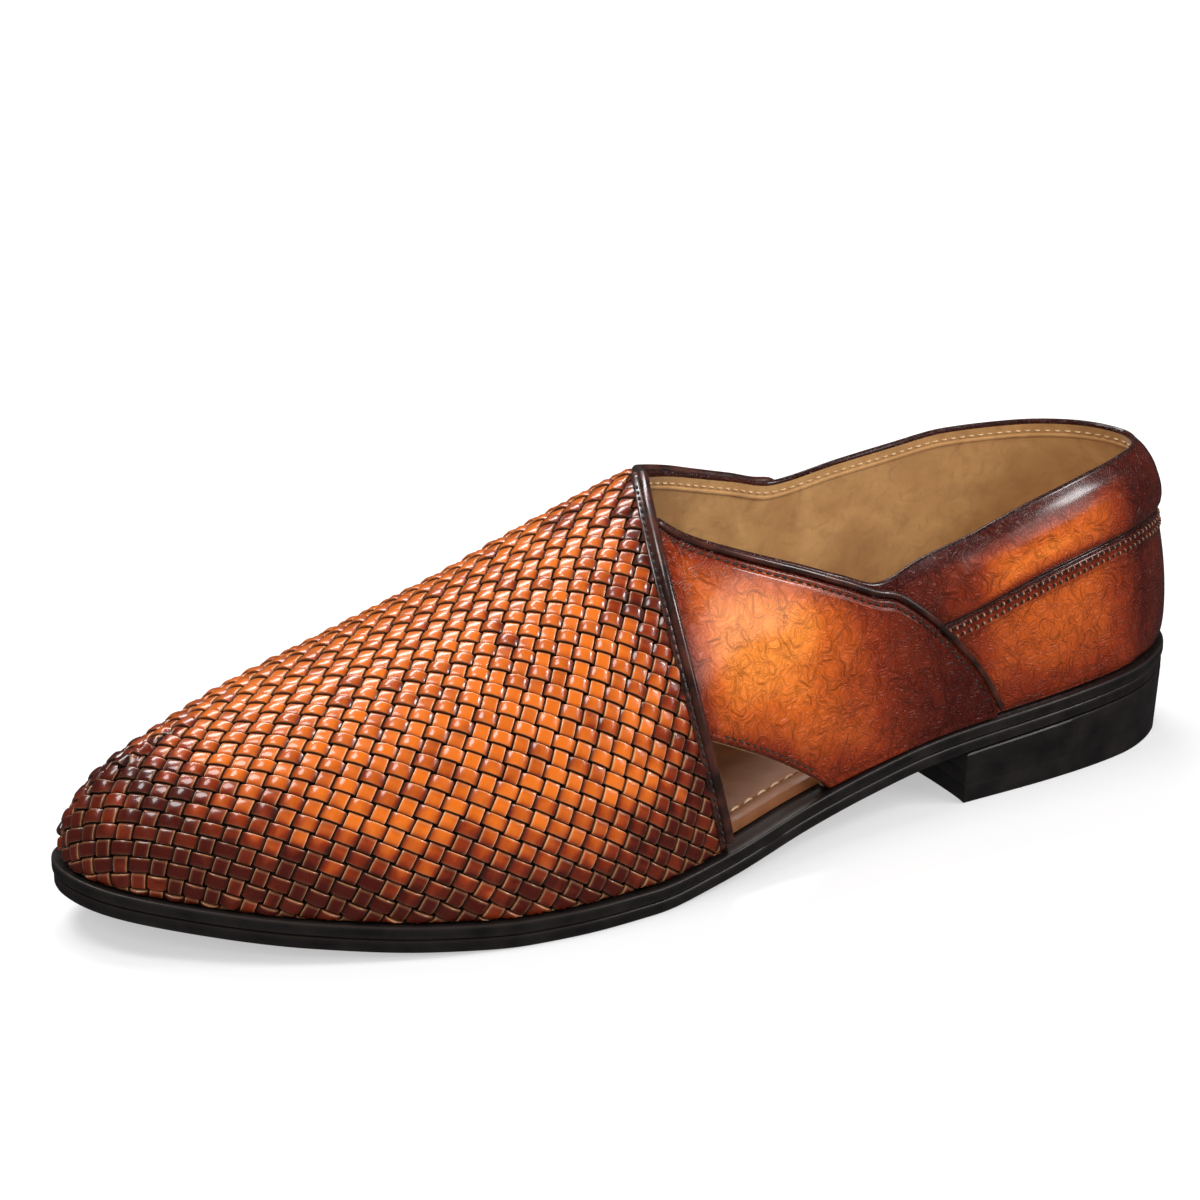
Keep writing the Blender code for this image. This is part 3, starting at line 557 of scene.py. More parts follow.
# Materials
class Nodes:
    """Short hands for building one material."""

    def __init__(self, name):
        self.material = bpy.data.materials.new(name)
        self.material.use_nodes = True
        self.nodes = self.material.node_tree.nodes
        self.links = self.material.node_tree.links
        self.shader = self.nodes["Principled BSDF"]
        self.place = self.new("ShaderNodeTexCoord").outputs["Object"]

    def new(self, kind, **settings):
        node = self.nodes.new(kind)
        for key, value in settings.items():
            setattr(node, key, value)
        return node

    def put(self, socket, value):
        if isinstance(value, bpy.types.NodeSocket):
            self.links.new(value, socket)
        elif isinstance(value, tuple) and len(value) == 3 and socket.type == "RGBA":
            socket.default_value = (*value, 1.0)
        else:
            socket.default_value = value

    def noise(self, scale, detail=2.0, distortion=0.0, roughness=0.5, place=None):
        node = self.new("ShaderNodeTexNoise")
        self.put(node.inputs["Vector"], place or self.place)
        self.put(node.inputs["Scale"], scale)
        self.put(node.inputs["Detail"], detail)
        self.put(node.inputs["Distortion"], distortion)
        self.put(node.inputs["Roughness"], roughness)
        return node.outputs["Fac"]

    def math(self, kind, a, b=0.0, c=0.0, clamp=False):
        node = self.new("ShaderNodeMath", operation=kind, use_clamp=clamp)
        for socket, value in zip(node.inputs, (a, b, c)):
            self.put(socket, value)
        return node.outputs[0]

    def spread(self, value, low, high, to_low=0.0, to_high=1.0):
        node = self.new("ShaderNodeMapRange", clamp=True)
        for key, number in (("Value", value), ("From Min", low), ("From Max", high),
                            ("To Min", to_low), ("To Max", to_high)):
            self.put(node.inputs[key], number)
        return node.outputs[0]

    def mix(self, share, a, b, kind="MIX"):
        node = self.new("ShaderNodeMix", data_type="RGBA", blend_type=kind)
        self.put(node.inputs[0], share)
        self.put(node.inputs[6], a)
        self.put(node.inputs[7], b)
        return node.outputs[2]

    def value(self, name):
        return self.new("ShaderNodeAttribute", attribute_name=name).outputs["Fac"]

    def bump(self, height, strength, distance, normal=None):
        node = self.new("ShaderNodeBump")
        self.put(node.inputs["Strength"], strength)
        self.put(node.inputs["Distance"], distance)
        self.put(node.inputs["Height"], height)
        if normal:
            self.put(node.inputs["Normal"], normal)
        return node.outputs["Normal"]

    def finish(self, colour, roughness, normal=None, coat=0.0, coat_roughness=0.1, specular=0.5, sheen=0.0):
        self.put(self.shader.inputs["Base Color"], colour)
        self.put(self.shader.inputs["Roughness"], roughness)
        if normal:
            self.put(self.shader.inputs["Normal"], normal)
        self.shader.inputs["Coat Weight"].default_value = coat
        self.shader.inputs["Coat Roughness"].default_value = coat_roughness
        self.shader.inputs["Specular IOR Level"].default_value = specular
        self.shader.inputs["Sheen Weight"].default_value = sheen
        return self.material


COGNAC = (0.58, 0.120, 0.006)
RUST = (0.21, 0.022, 0.002)
OXBLOOD = (0.050, 0.0045, 0.002)
AMBER = (0.50, 0.088, 0.004)
GOLD = (0.74, 0.20, 0.022)
EDGE_WEAR_AND_HIGHLIGHT = (0.80, 0.42, 0.20)
NEAR_BLACK = (0.010, 0.007, 0.006)
TAN = (0.58, 0.33, 0.125)


def woven_leather():
    m = Nodes("woven_leather_look")
    blotch = m.noise(110.0, 3.0, 0.4)
    # Darker where burnished, and where painted shade falls on the strips' ends
    deep = m.math("ADD", m.value("burnish_and_painted_light"), m.spread(blotch, 0.30, 0.70, -0.22, 0.22), clamp=True)
    deep = m.math("ADD", deep, m.math("MULTIPLY", m.value("tone"), 0.22), clamp=True)
    colour = m.mix(m.spread(deep, 0.0, 0.55), COGNAC, RUST)
    colour = m.mix(m.spread(deep, 0.50, 0.95), colour, OXBLOOD)
    # Lighter edges: worn raw edges plus a painted highlight on the upper and side edges, where light falls
    edge_wear_and_highlight = m.math("MULTIPLY", m.value("wear_and_highlight"), m.spread(m.noise(420.0), 0.35, 0.65, 0.55, 1.0))
    edge_wear_and_highlight = m.math("MULTIPLY", edge_wear_and_highlight, m.spread(deep, 0.2, 1.0, 0.95, 0.38))
    colour = m.mix(edge_wear_and_highlight, colour, EDGE_WEAR_AND_HIGHLIGHT)
    # Painted shade: near black in the gaps between strips and where strip ends dip under crossing strips
    colour = m.mix(m.value("painted_shade_and_dark_edge"), colour, NEAR_BLACK)
    grain = m.noise(1500.0, 3.0, 0.3)
    creases = m.noise(520.0, 2.0, 1.2)
    normal = m.bump(creases, 0.16, 0.0004)
    normal = m.bump(grain, 0.12, 0.0002, normal)
    roughness = m.spread(m.noise(300.0), 0.3, 0.7, 0.25, 0.40)
    return m.finish(colour, roughness, normal, coat=0.75, coat_roughness=0.11, specular=0.30)


def smooth_leather():
    m = Nodes("cognac_leather_look")
    blotch = m.noise(55.0, 3.0, 0.5)
    deep = m.math("ADD", m.value("burnish_and_painted_light"), m.spread(blotch, 0.30, 0.70, -0.12, 0.12))
    # Below zero, towards GOLD: mostly the painted glows on the collar roll and the strap
    colour = m.mix(m.spread(deep, -0.30, 0.02), GOLD, AMBER)
    colour = m.mix(m.spread(deep, 0.0, 0.5), colour, RUST)
    colour = m.mix(m.spread(deep, 0.5, 1.0), colour, OXBLOOD)
    # Near black as painted shade under the woven panel, in grooves and beside the cord; darker rim and strap edges
    colour = m.mix(m.value("painted_shade_and_dark_edge"), colour, NEAR_BLACK)
    # Fine meandering creases all over: the level lines of a distorted noise
    level_lines = m.math("SINE", m.math("MULTIPLY", m.noise(270.0, 1.0, 0.8), 62.0))
    relief = m.math("MULTIPLY", level_lines, m.spread(m.noise(150.0), 0.30, 0.60, 0.65, 1.0))
    trough = m.spread(relief, -0.2, -1.0, 0.0, 0.13)
    colour = m.mix(trough, colour, OXBLOOD)
    normal = m.bump(relief, 1.0, 0.00015)
    normal = m.bump(m.noise(1700.0, 3.0), 0.10, 0.0002, normal)
    roughness = m.spread(m.noise(240.0), 0.3, 0.7, 0.30, 0.42)
    return m.finish(colour, roughness, normal, coat=0.60, coat_roughness=0.18, specular=0.22)


def dark_leather():
    m = Nodes("dark_leather_look")
    colour = m.mix(m.spread(m.noise(160.0, 2.0, 0.5), 0.35, 0.65), (0.014, 0.006, 0.005), (0.060, 0.016, 0.010))
    normal = m.bump(m.noise(900.0, 3.0, 0.6), 0.20, 0.0003)
    roughness = m.spread(m.noise(260.0), 0.3, 0.7, 0.24, 0.38)
    return m.finish(colour, roughness, normal, coat=0.45, coat_roughness=0.12)


def black_sole():
    m = Nodes("black_sole_look")
    colour = m.mix(m.spread(m.noise(140.0, 3.0), 0.35, 0.70), (0.005, 0.0045, 0.0045), (0.012, 0.010, 0.0095))
    # Lighter edges: scuffed wear, and a painted highlight along the welt's top edge
    colour = m.mix(m.value("wear_and_highlight"), colour, (0.032, 0.024, 0.021))
    streak = m.new("ShaderNodeMapping")
    m.put(streak.inputs["Vector"], m.place)
    streak.inputs["Scale"].default_value = (40.0, 40.0, 900.0)
    normal = m.bump(m.noise(1.0, 3.0, 0.2, place=streak.outputs[0]), 0.16, 0.0002)
    normal = m.bump(m.noise(1300.0, 2.0), 0.12, 0.0002, normal)
    roughness = m.spread(m.noise(90.0, 2.0), 0.3, 0.7, 0.30, 0.46)
    return m.finish(colour, roughness, normal, coat=0.08, coat_roughness=0.20, specular=0.25)


def lining_leather():
    m = Nodes("tan_lining_look")
    colour = m.mix(m.spread(m.noise(70.0, 3.0, 0.8), 0.32, 0.68), TAN, (0.42, 0.215, 0.075))
    stains = m.math("MULTIPLY", m.spread(m.noise(190.0, 4.0, 1.5), 0.50, 0.75), 0.5)
    colour = m.mix(stains, colour, (0.30, 0.16, 0.06))
    # Painted shade: dark brown on the cut-out's wall
    colour = m.mix(m.value("painted_shade_and_dark_edge"), colour, (0.10, 0.05, 0.02))
    normal = m.bump(m.noise(130.0, 3.0, 1.2), 0.35, 0.0008)
    normal = m.bump(m.noise(1500.0, 2.0), 0.15, 0.0002, normal)
    return m.finish(colour, 0.62, normal, sheen=0.15)


def insole_leather():
    m = Nodes("tan_insole_look")
    # Tan-brown leather, darkened with painted shade for the inside of the shoe
    colour = m.mix(m.spread(m.noise(40.0, 4.0, 1.0), 0.30, 0.70), (0.29, 0.110, 0.038), (0.16, 0.052, 0.018))
    stains = m.math("MULTIPLY", m.spread(m.noise(330.0, 3.0, 1.2), 0.52, 0.72), 0.45)
    colour = m.mix(stains, colour, (0.15, 0.06, 0.025))
    normal = m.bump(m.noise(700.0, 3.0, 0.6), 0.2, 0.0003)
    return m.finish(colour, m.spread(m.noise(200.0), 0.3, 0.7, 0.42, 0.60), normal)


def thread(name, dark, light):
    m = Nodes(name)
    colour = m.mix(m.spread(m.noise(1500.0), 0.35, 0.65), dark, light)
    return m.finish(colour, 0.55, m.bump(m.noise(3500.0), 0.4, 0.0002))


WOVEN = woven_leather()
SMOOTH = smooth_leather()
DARK = dark_leather()
BLACK = black_sole()
LINING = lining_leather()
INSOLE = insole_leather()
BLACK_THREAD = thread("black_thread", (0.012, 0.009, 0.008), (0.035, 0.025, 0.020))
# Painted highlight: lighter than the leather round it, for glints on the leather between stitch holes
BRIDGE_HIGHLIGHT = thread("bridge_highlight_look", (0.22, 0.07, 0.03), (0.42, 0.18, 0.09))
LIGHT_THREAD = thread("light_thread", (0.55, 0.36, 0.19), (0.75, 0.55, 0.34))


# Sole: each plate is a ring of profiles round the footprint, closed above and below
RING = 480


def plate(name, profile, base, material, stands_for, wear_and_highlight=None, within=0.0):
    """profile: rows of (inset, height above base) from the middle of the underside round to the top face."""
    q = np.arange(RING) * 2 / RING
    rows = []
    for inset, height in profile:
        xy = footprint(q, inset + within)
        rows.append(np.column_stack([xy[:, 0], xy[:, 1] + SIDE_SHIFT, base(0.5 - xy[:, 0] / LENGTH) + height]))
    points = np.stack(rows, axis=1).reshape(-1, 3)
    count = len(profile)
    faces = grid_faces(RING, count, round_again=True)
    for k in range(RING // 2):
        ring = [k, k + 1, RING - k - 1, (RING - k) % RING]
        ring = [a for n, a in enumerate(ring) if a != ring[n - 1]]
        faces.append(tuple(a * count for a in ring))
        faces.append(tuple(a * count + count - 1 for a in reversed(ring)))
    values = {"wear_and_highlight": np.tile(wear_and_highlight, RING)} if wear_and_highlight is not None else None
    return new_piece(name, points, faces, [material], stands_for, values, sharp=45)


def build_sole():
    r = 0.0007
    t = WELT_THICKNESS
    welt = [(0.006, 0.0), (r, 0.0), (0.4 * r, 0.1 * r), (0.1 * r, 0.4 * r), (0.0, r), (0.0, t / 2),
            (0.0, t - r), (0.1 * r, t - 0.4 * r), (0.4 * r, t - 0.1 * r), (r, t), (0.0022, t), (0.0026, t - 0.0001), (0.006, t)]
    # Lighter along the rounded edges: wear, and a painted highlight on the welt's top edge
    wear_and_highlight = [0, 0, 0.1, 0.25, 0.1, 0, 0.08, 0.45, 0.55, 0.15, 0.0, 0.0, 0.0]
    plate("welt_fine", welt, lambda a: underside(a) + OUTSOLE_THICKNESS + GAP, BLACK,
          ("welt",), wear_and_highlight)
    t = OUTSOLE_THICKNESS
    s = OUTSOLE_REVEAL
    sole = [(0.012, 0.0), (s + 2 * r, 0.0), (s + r, 0.05 * r), (s + 0.3 * r, 0.35 * r), (s, r), (s, t / 2),
            (s, t - r), (s + 0.2 * r, t - 0.3 * r), (s + 0.7 * r, t), (0.006, t)]
    wear_and_highlight = [0, 0, 0.1, 0.25, 0.1, 0, 0.1, 0.4, 0.2, 0]
    plate("outsole_fine", sole, underside, BLACK, ("outsole",), wear_and_highlight)
    t = INSOLE_THICKNESS
    s = WALL + 3 * GAP
    q = np.arange(RING) * 2 / RING
    inner = [(s + 0.006, 0.0), (s, 0.0), (s, t * 0.5), (s + 0.0003, t * 0.9), (s + 0.0012, t), (s + 0.004, t),
             (s + 0.0043, t - 0.0003), (s + 0.0046, t), (s + 0.010, t)]
    plate("insole_fine", inner, lambda a: seat(a) + GAP, INSOLE, ("insole",),
          within=ledge(along_of(turn_at(q))))
    q = np.linspace(0, 2, 700)
    xy = footprint(q, s + 0.0043 + ledge(along_of(turn_at(q))))
    height = seat(0.5 - xy[:, 0] / LENGTH) + GAP + t + 0.0001
    line = even_route(np.column_stack([xy[:, 0], xy[:, 1] + SIDE_SHIFT, height]), 0.001)
    up = np.tile([0.0, 0.0, 1.0], (len(line), 1))
    points, faces = stitch_mesh(line, up, 0.0030, 0.0046, 0.00032)
    new_piece("insole_stitches", points, faces, [LIGHT_THREAD])


def build_heel():
    """The heel block: its side follows the outsole, drawn in a little to the floor; the breast is hollowed."""
    end = float(turn_of(HEEL_BREAST / LENGTH))
    q = np.linspace(-end, end, 161)
    breast_x = x_of(HEEL_BREAST / LENGTH)
    profile = [(0.0, 0.0009), (0.004, 0.0003), (0.012, 0.0), (0.33, 0.0), (0.345, 0.00010), (0.36, 0.0),
               (0.62, 0.0), (0.632, 0.00007), (0.644, 0.0), (0.975, 0.0), (1.0, 0.0003)]
    points = []
    for share, extra in profile:
        inset = OUTSOLE_REVEAL + HEEL_TAPER * (1 - share) + extra
        xy = footprint(q, inset)
        top = underside(0.5 - xy[:, 0] / LENGTH) - GAP
        height = top * share
        x = np.maximum(xy[:, 0], breast_x + extra)
        points.append(np.column_stack([x, xy[:, 1] + SIDE_SHIFT, height]))
    side = np.stack(points, axis=1)
    steps = 24
    across = np.linspace(0, 1, steps + 1)[1:-1]
    first, last = side[-1], side[0]
    breast = first[None] * (1 - across[:, None, None]) + last[None] * across[:, None, None]
    hollow = 0.0022 * np.sin(math.pi * across) ** 0.7
    breast[..., 0] += hollow[:, None]
    ring = np.concatenate([side, breast], axis=0)
    count, rows = ring.shape[0], ring.shape[1]
    faces = grid_faces(count, rows, round_again=True)
    faces.append(tuple(i * rows for i in range(count)))
    faces.append(tuple(i * rows + rows - 1 for i in reversed(range(count))))
    wear_and_highlight = np.tile([0.2, 0.3, 0.05, 0, 0.02, 0.06, 0, 0.0, 0.04, 0.08, 0.25], count)
    new_piece("heel_fine", ring.reshape(-1, 3), faces, [BLACK], ("heel",), {"wear_and_highlight": wear_and_highlight},
              sharp=40)


# Upper: the leather wall with its padded collar roll, and the lining inside it
LOW_ROWS = 8
SIDE_ROWS = 26
ROLL_ROWS = 16


def upper_places():
    sliver = 0.0006
    rear = np.concatenate([
        np.linspace(0, STRAP_PLACE, 90)[:-1],
        np.linspace(STRAP_PLACE, CUT_OUT_PLACE, 60)[:-1],
        np.linspace(CUT_OUT_PLACE, REAR_OF_PIPING - sliver, 50),
    ])
    front = np.linspace(REAR_OF_PIPING, 1, 90)
    turns = np.concatenate([rear, front])
    return np.concatenate([turns, 2 - turns[1:-1][::-1]]), len(rear), len(turns)


def cut_v(q):
    """The row that runs along the top edge of the cut-out, and on round the shoe."""
    turn = np.clip(q, CUT_OUT_PLACE, EDGE_PLACE)
    return np.where(q > 1, 0.30, level(turn, strap_lower(turn)))


# Sewn band under the collar roll: height over the groove, how far it stands out
BAND = (
    (-0.0058, 0.0), (-0.0048, 0.0), (-0.0044, 0.00006), (-0.0041, 0.00030), (-0.0037, 0.00032),
    (-0.0034, 0.00018), (-0.0031, 0.00032), (-0.0018, 0.00032), (-0.0014, 0.00018), (-0.0010, 0.00030), (-0.0006, 0.0),
    (-0.0003, -0.00055), (0.0, -0.00075), (0.0004, -0.00050), (0.0010, 0.0),
)
band_out = table(BAND)


def upper_rows(q):
    top, groove = rim_and_groove(q)
    cut = np.minimum(cut_v(q), 0.7 * groove)
    per_metre = (top - groove) / ROLL_HEIGHT
    band = groove[:, None] + per_metre[:, None] * np.array([row[0] for row in BAND])[None]
    low = cut[:, None] * np.linspace(0, 1, LOW_ROWS + 1)[None, :-1]
    side = cut[:, None] + (band[:, 0] - cut)[:, None] * np.linspace(0, 1, SIDE_ROWS + 1)[None, :-1]
    roll = band[:, -1:] + (top - band[:, -1])[:, None] * np.linspace(0, 1, ROLL_ROWS + 1)[None, 1:]
    return np.hstack([low, side, band, roll])


def over_groove(q, v):
    """Height over the collar roll's groove, in metres."""
    top, groove = rim_and_groove(q)
    return (v - groove) / (top - groove) * ROLL_HEIGHT


def band_share(q):
    """1 round the heel, 0 where the sewn band ends under the strap and the wing."""
    turn = turn_at(q)
    return 1 - smooth((turn - STRAP_DIP + 0.004) / 0.02)


def in_front(q):
    return turn_at(q) >= REAR_OF_PIPING - 1e-9


def upper_burnish_and_painted_light(q, v, z):
    """How dark the polish is: deep at the welt, the rim and the heel's back, light in the panels' middle, with a
    painted glow of light on the outer collar roll.
    """
    top, groove = rim_and_groove(q)
    turn = turn_at(q)
    share = (v - groove) / (top - groove)
    outer = q % 2 < 1
    foot = 0.60 * np.exp(-(np.maximum(0, z - seat(along_of(turn))) / 0.011) ** 1.5)
    rim = 0.85 * smooth((share - 0.50) / 0.40)
    under_roll = 0.75 * np.exp(-(np.maximum(0, np.abs(share + 0.03) - 0.05) / 0.12) ** 2)
    back = 0.92 * smooth((0.250 - turn) / 0.10) * np.where(outer, 1.0, 0.8)
    roll_front = 0.75 * smooth((turn - 0.335) / 0.034) * smooth((share + 0.2) / 0.2)
    glow = np.where(outer, 0.16, 0.10)
    waist = 0.50 * smooth((turn - 0.310) / 0.035) * np.where(outer, 1.0, 0.0)
    toe = 0.8 * smooth((turn - 0.80) / 0.2)
    # Painted glow: a lighter pool of light on the outer side of the collar roll
    painted_glow = 0.34 * np.exp(-((turn - 0.285) / 0.04) ** 2) * np.exp(-((share - 0.35) / 0.2) ** 2)
    glow = glow - painted_glow * np.where(outer, 1.0, 0.0)
    return np.clip(np.maximum.reduce([foot, rim, under_roll, back, roll_front, waist, toe]) + glow, -0.3, 1)


def creases(q, v, z):
    """Soft troughs on the heel's side and under the roll: (place, height, lean, length, width, depth)."""
    total = np.zeros(np.shape(z))
    for place, height, lean, length, width, depth in (
        (0.060, 0.043, 0.10, 0.016, 0.0022, 0.00022),
        (0.105, 0.036, -0.25, 0.018, 0.0026, 0.00025),
        (0.165, 0.030, 0.20, 0.014, 0.0024, 0.00020),
        (1.930, 0.042, -0.15, 0.016, 0.0024, 0.00022),
        (1.860, 0.034, 0.20, 0.018, 0.0028, 0.00022),
        (1.790, 0.038, -0.20, 0.016, 0.0026, 0.00020),
        (1.560, 0.024, 0.90, 0.022, 0.0030, 0.00030),
        (1.500, 0.022, 0.80, 0.018, 0.0030, 0.00025),
    ):
        along = (q - place) * 0.30
        rise = z - height
        across = along - lean * rise
        total = total - depth * np.exp(-(across / width) ** 2 - (rise / length) ** 2)
        total = total + 0.4 * depth * np.exp(-((across - 1.8 * width) / width) ** 2 - (rise / length) ** 2)
    return total


def build_upper():
    q, rear, turns = upper_places()
    rows = upper_rows(q)
    count, high = rows.shape
    places = np.repeat(q[:, None], high, axis=1)
    plain = surface(places, rows)
    band = band_out(over_groove(places, rows)) * band_share(places)
    outside = surface(places, rows, creases(places, rows, plain[..., 2]) + band)
    keep = np.ones((count, high - 1), bool)
    for i in range(count):
        a, b = q[i], q[(i + 1) % count]
        if a >= CUT_OUT_PLACE - 1e-9 and b <= REAR_OF_PIPING + 1e-9:
            keep[i, :LOW_ROWS] = False
    faces = grid_faces(count, high, keep, round_again=True)
    inside = surface(places, rows, -WALL, padded=False)
    # The rim rolls over from the leather to the lining
    open_rim = ~in_front(q)
    over = 7
    middle = (outside[:, -1] + inside[:, -1]) / 2
    reach = (outside[:, -1] - inside[:, -1]) / 2
    half = np.linalg.norm(reach, axis=-1)[:, None]
    up = np.cross(unit(np.roll(middle, -1, axis=0) - np.roll(middle, 1, axis=0)), unit(reach))
    up = unit(up * np.sign(up[:, 2:3]))
    arcs = []
    for k in range(over):
        angle = math.pi * k / (over - 1)
        arcs.append(middle + reach * math.cos(angle) + up * half * math.sin(angle))
    rim = np.stack(arcs, axis=1)
    first = count * high
    keep_rim = np.zeros((count, over - 1), bool)
    for i in range(count):
        keep_rim[i] = open_rim[i] and open_rim[(i + 1) % count]
    rim_faces = grid_faces(count, over, keep_rim, round_again=True, first=first)
    points = np.concatenate([outside.reshape(-1, 3), rim.reshape(-1, 3)])
    burnish_and_painted_light = upper_burnish_and_painted_light(places, rows, plain[..., 2])
    burnish_and_painted_light = np.concatenate([burnish_and_painted_light.ravel(), np.full(count * over, 1.0)])
    height = over_groove(places, rows)
    # Painted shade in the groove under the roll, in the stitch rows' dips and at the band's lower step
    sewn = (np.exp(-(height / 0.0005) ** 2) + 0.40 * np.exp(-((height + 0.0014) / 0.0003) ** 2)
            + 0.40 * np.exp(-((height + 0.0034) / 0.0003) ** 2) + 0.35 * np.exp(-((height + 0.0044) / 0.0003) ** 2))
    # Near black as painted shade where the woven panel hides the upper; the rim's arc is set darker at 0.55
    painted_shade_and_rim_edge = np.maximum(1.0 * covered(places, rows), np.minimum(1.0, sewn) * band_share(places))
    painted_shade_and_rim_edge = np.concatenate([painted_shade_and_rim_edge.ravel(), np.full(count * over, 0.55)])
    new_piece("upper_leather", points, faces + rim_faces, [SMOOTH], ("upper",),
              {"burnish_and_painted_light": burnish_and_painted_light, "painted_shade_and_dark_edge": painted_shade_and_rim_edge})
    lining_faces = flipped(grid_faces(count, high, keep, round_again=True))
    edge_in = len(inside.reshape(-1, 3))
    # Wall of the cut-out between leather and lining, painted dark as shade
    wall_faces = []
    start = int(np.argmin(abs(q - CUT_OUT_PLACE)))
    end = int(np.argmin(abs(q - REAR_OF_PIPING)))
    edge = [(i, LOW_ROWS) for i in range(start, end + 1)] + [(end, j) for j in range(LOW_ROWS - 1, -1, -1)]
    outer_edge = np.array([outside[i, j] for i, j in edge])
    edge_index = [i * high + j for i, j in edge]
    for n in range(len(edge) - 1):
        wall_faces.append((edge_index[n], edge_index[n + 1], edge_in + n + 1, edge_in + n))
    lining_points = np.concatenate([inside.reshape(-1, 3), outer_edge])
    painted_shade_and_dark_edge = np.concatenate([np.zeros(edge_in), np.full(len(edge), 1.0)])
    new_piece("lining", lining_points, lining_faces + wall_faces, [LINING], (), {"painted_shade_and_dark_edge": painted_shade_and_dark_edge})


def covered(q, v):
    """True where the woven panel lies over the upper."""
    turn = np.minimum(q, 2 - q)
    outer = (q <= 1) & (q > EDGE_PLACE - 0.002)
    inner = (q > 1) & (turn > WING_PLACE) & (v > wing_low_v(q)) & (v < wing_top_v(q) + 0.02)
    return outer | inner


# Woven panel: a flat sheet of crossing strips, laid over the front of the last
ROW_PITCH = 0.00350
COLUMN_PITCH = 0.00452
PER_CELL = 4
# How far the rows slope down towards the heel on the outer side, in degrees, by loop place
row_slope = table([
    (0.490, 42.0), (0.547, 39.0), (0.586, 37.0), (0.622, 35.0), (0.657, 32.5), (0.695, 30.0), (0.731, 28.0),
    (0.771, 25.0), (0.816, 20.0), (0.865, 14.0), (0.930, 6.0), (1.000, 0.0),
])
# How far the columns lean from the ribs towards the heel, in degrees
column_lean = table([
    (0.490, 33.0), (0.622, 34.0), (0.695, 35.0), (0.731, 32.0), (0.771, 27.0), (0.816, 19.5), (0.865, 10.0),
    (0.930, 0.0), (1.000, -6.0),
])
# The strips' directions are set on the outer side up to the first place, less far on at the crest, and then less
# and less up to the second; round the toe the sheet lies as it will
SET_UP_TO, FREE_FROM = 0.78, 0.92
SHEET_ROWS = 20


def base_point(q, v):
    """Points of the last, run on straight down below the welt where v is under 0."""
    point = last_point(q, v)
    point[..., 2] += np.minimum(v, 0.0) * 0.10
    return point


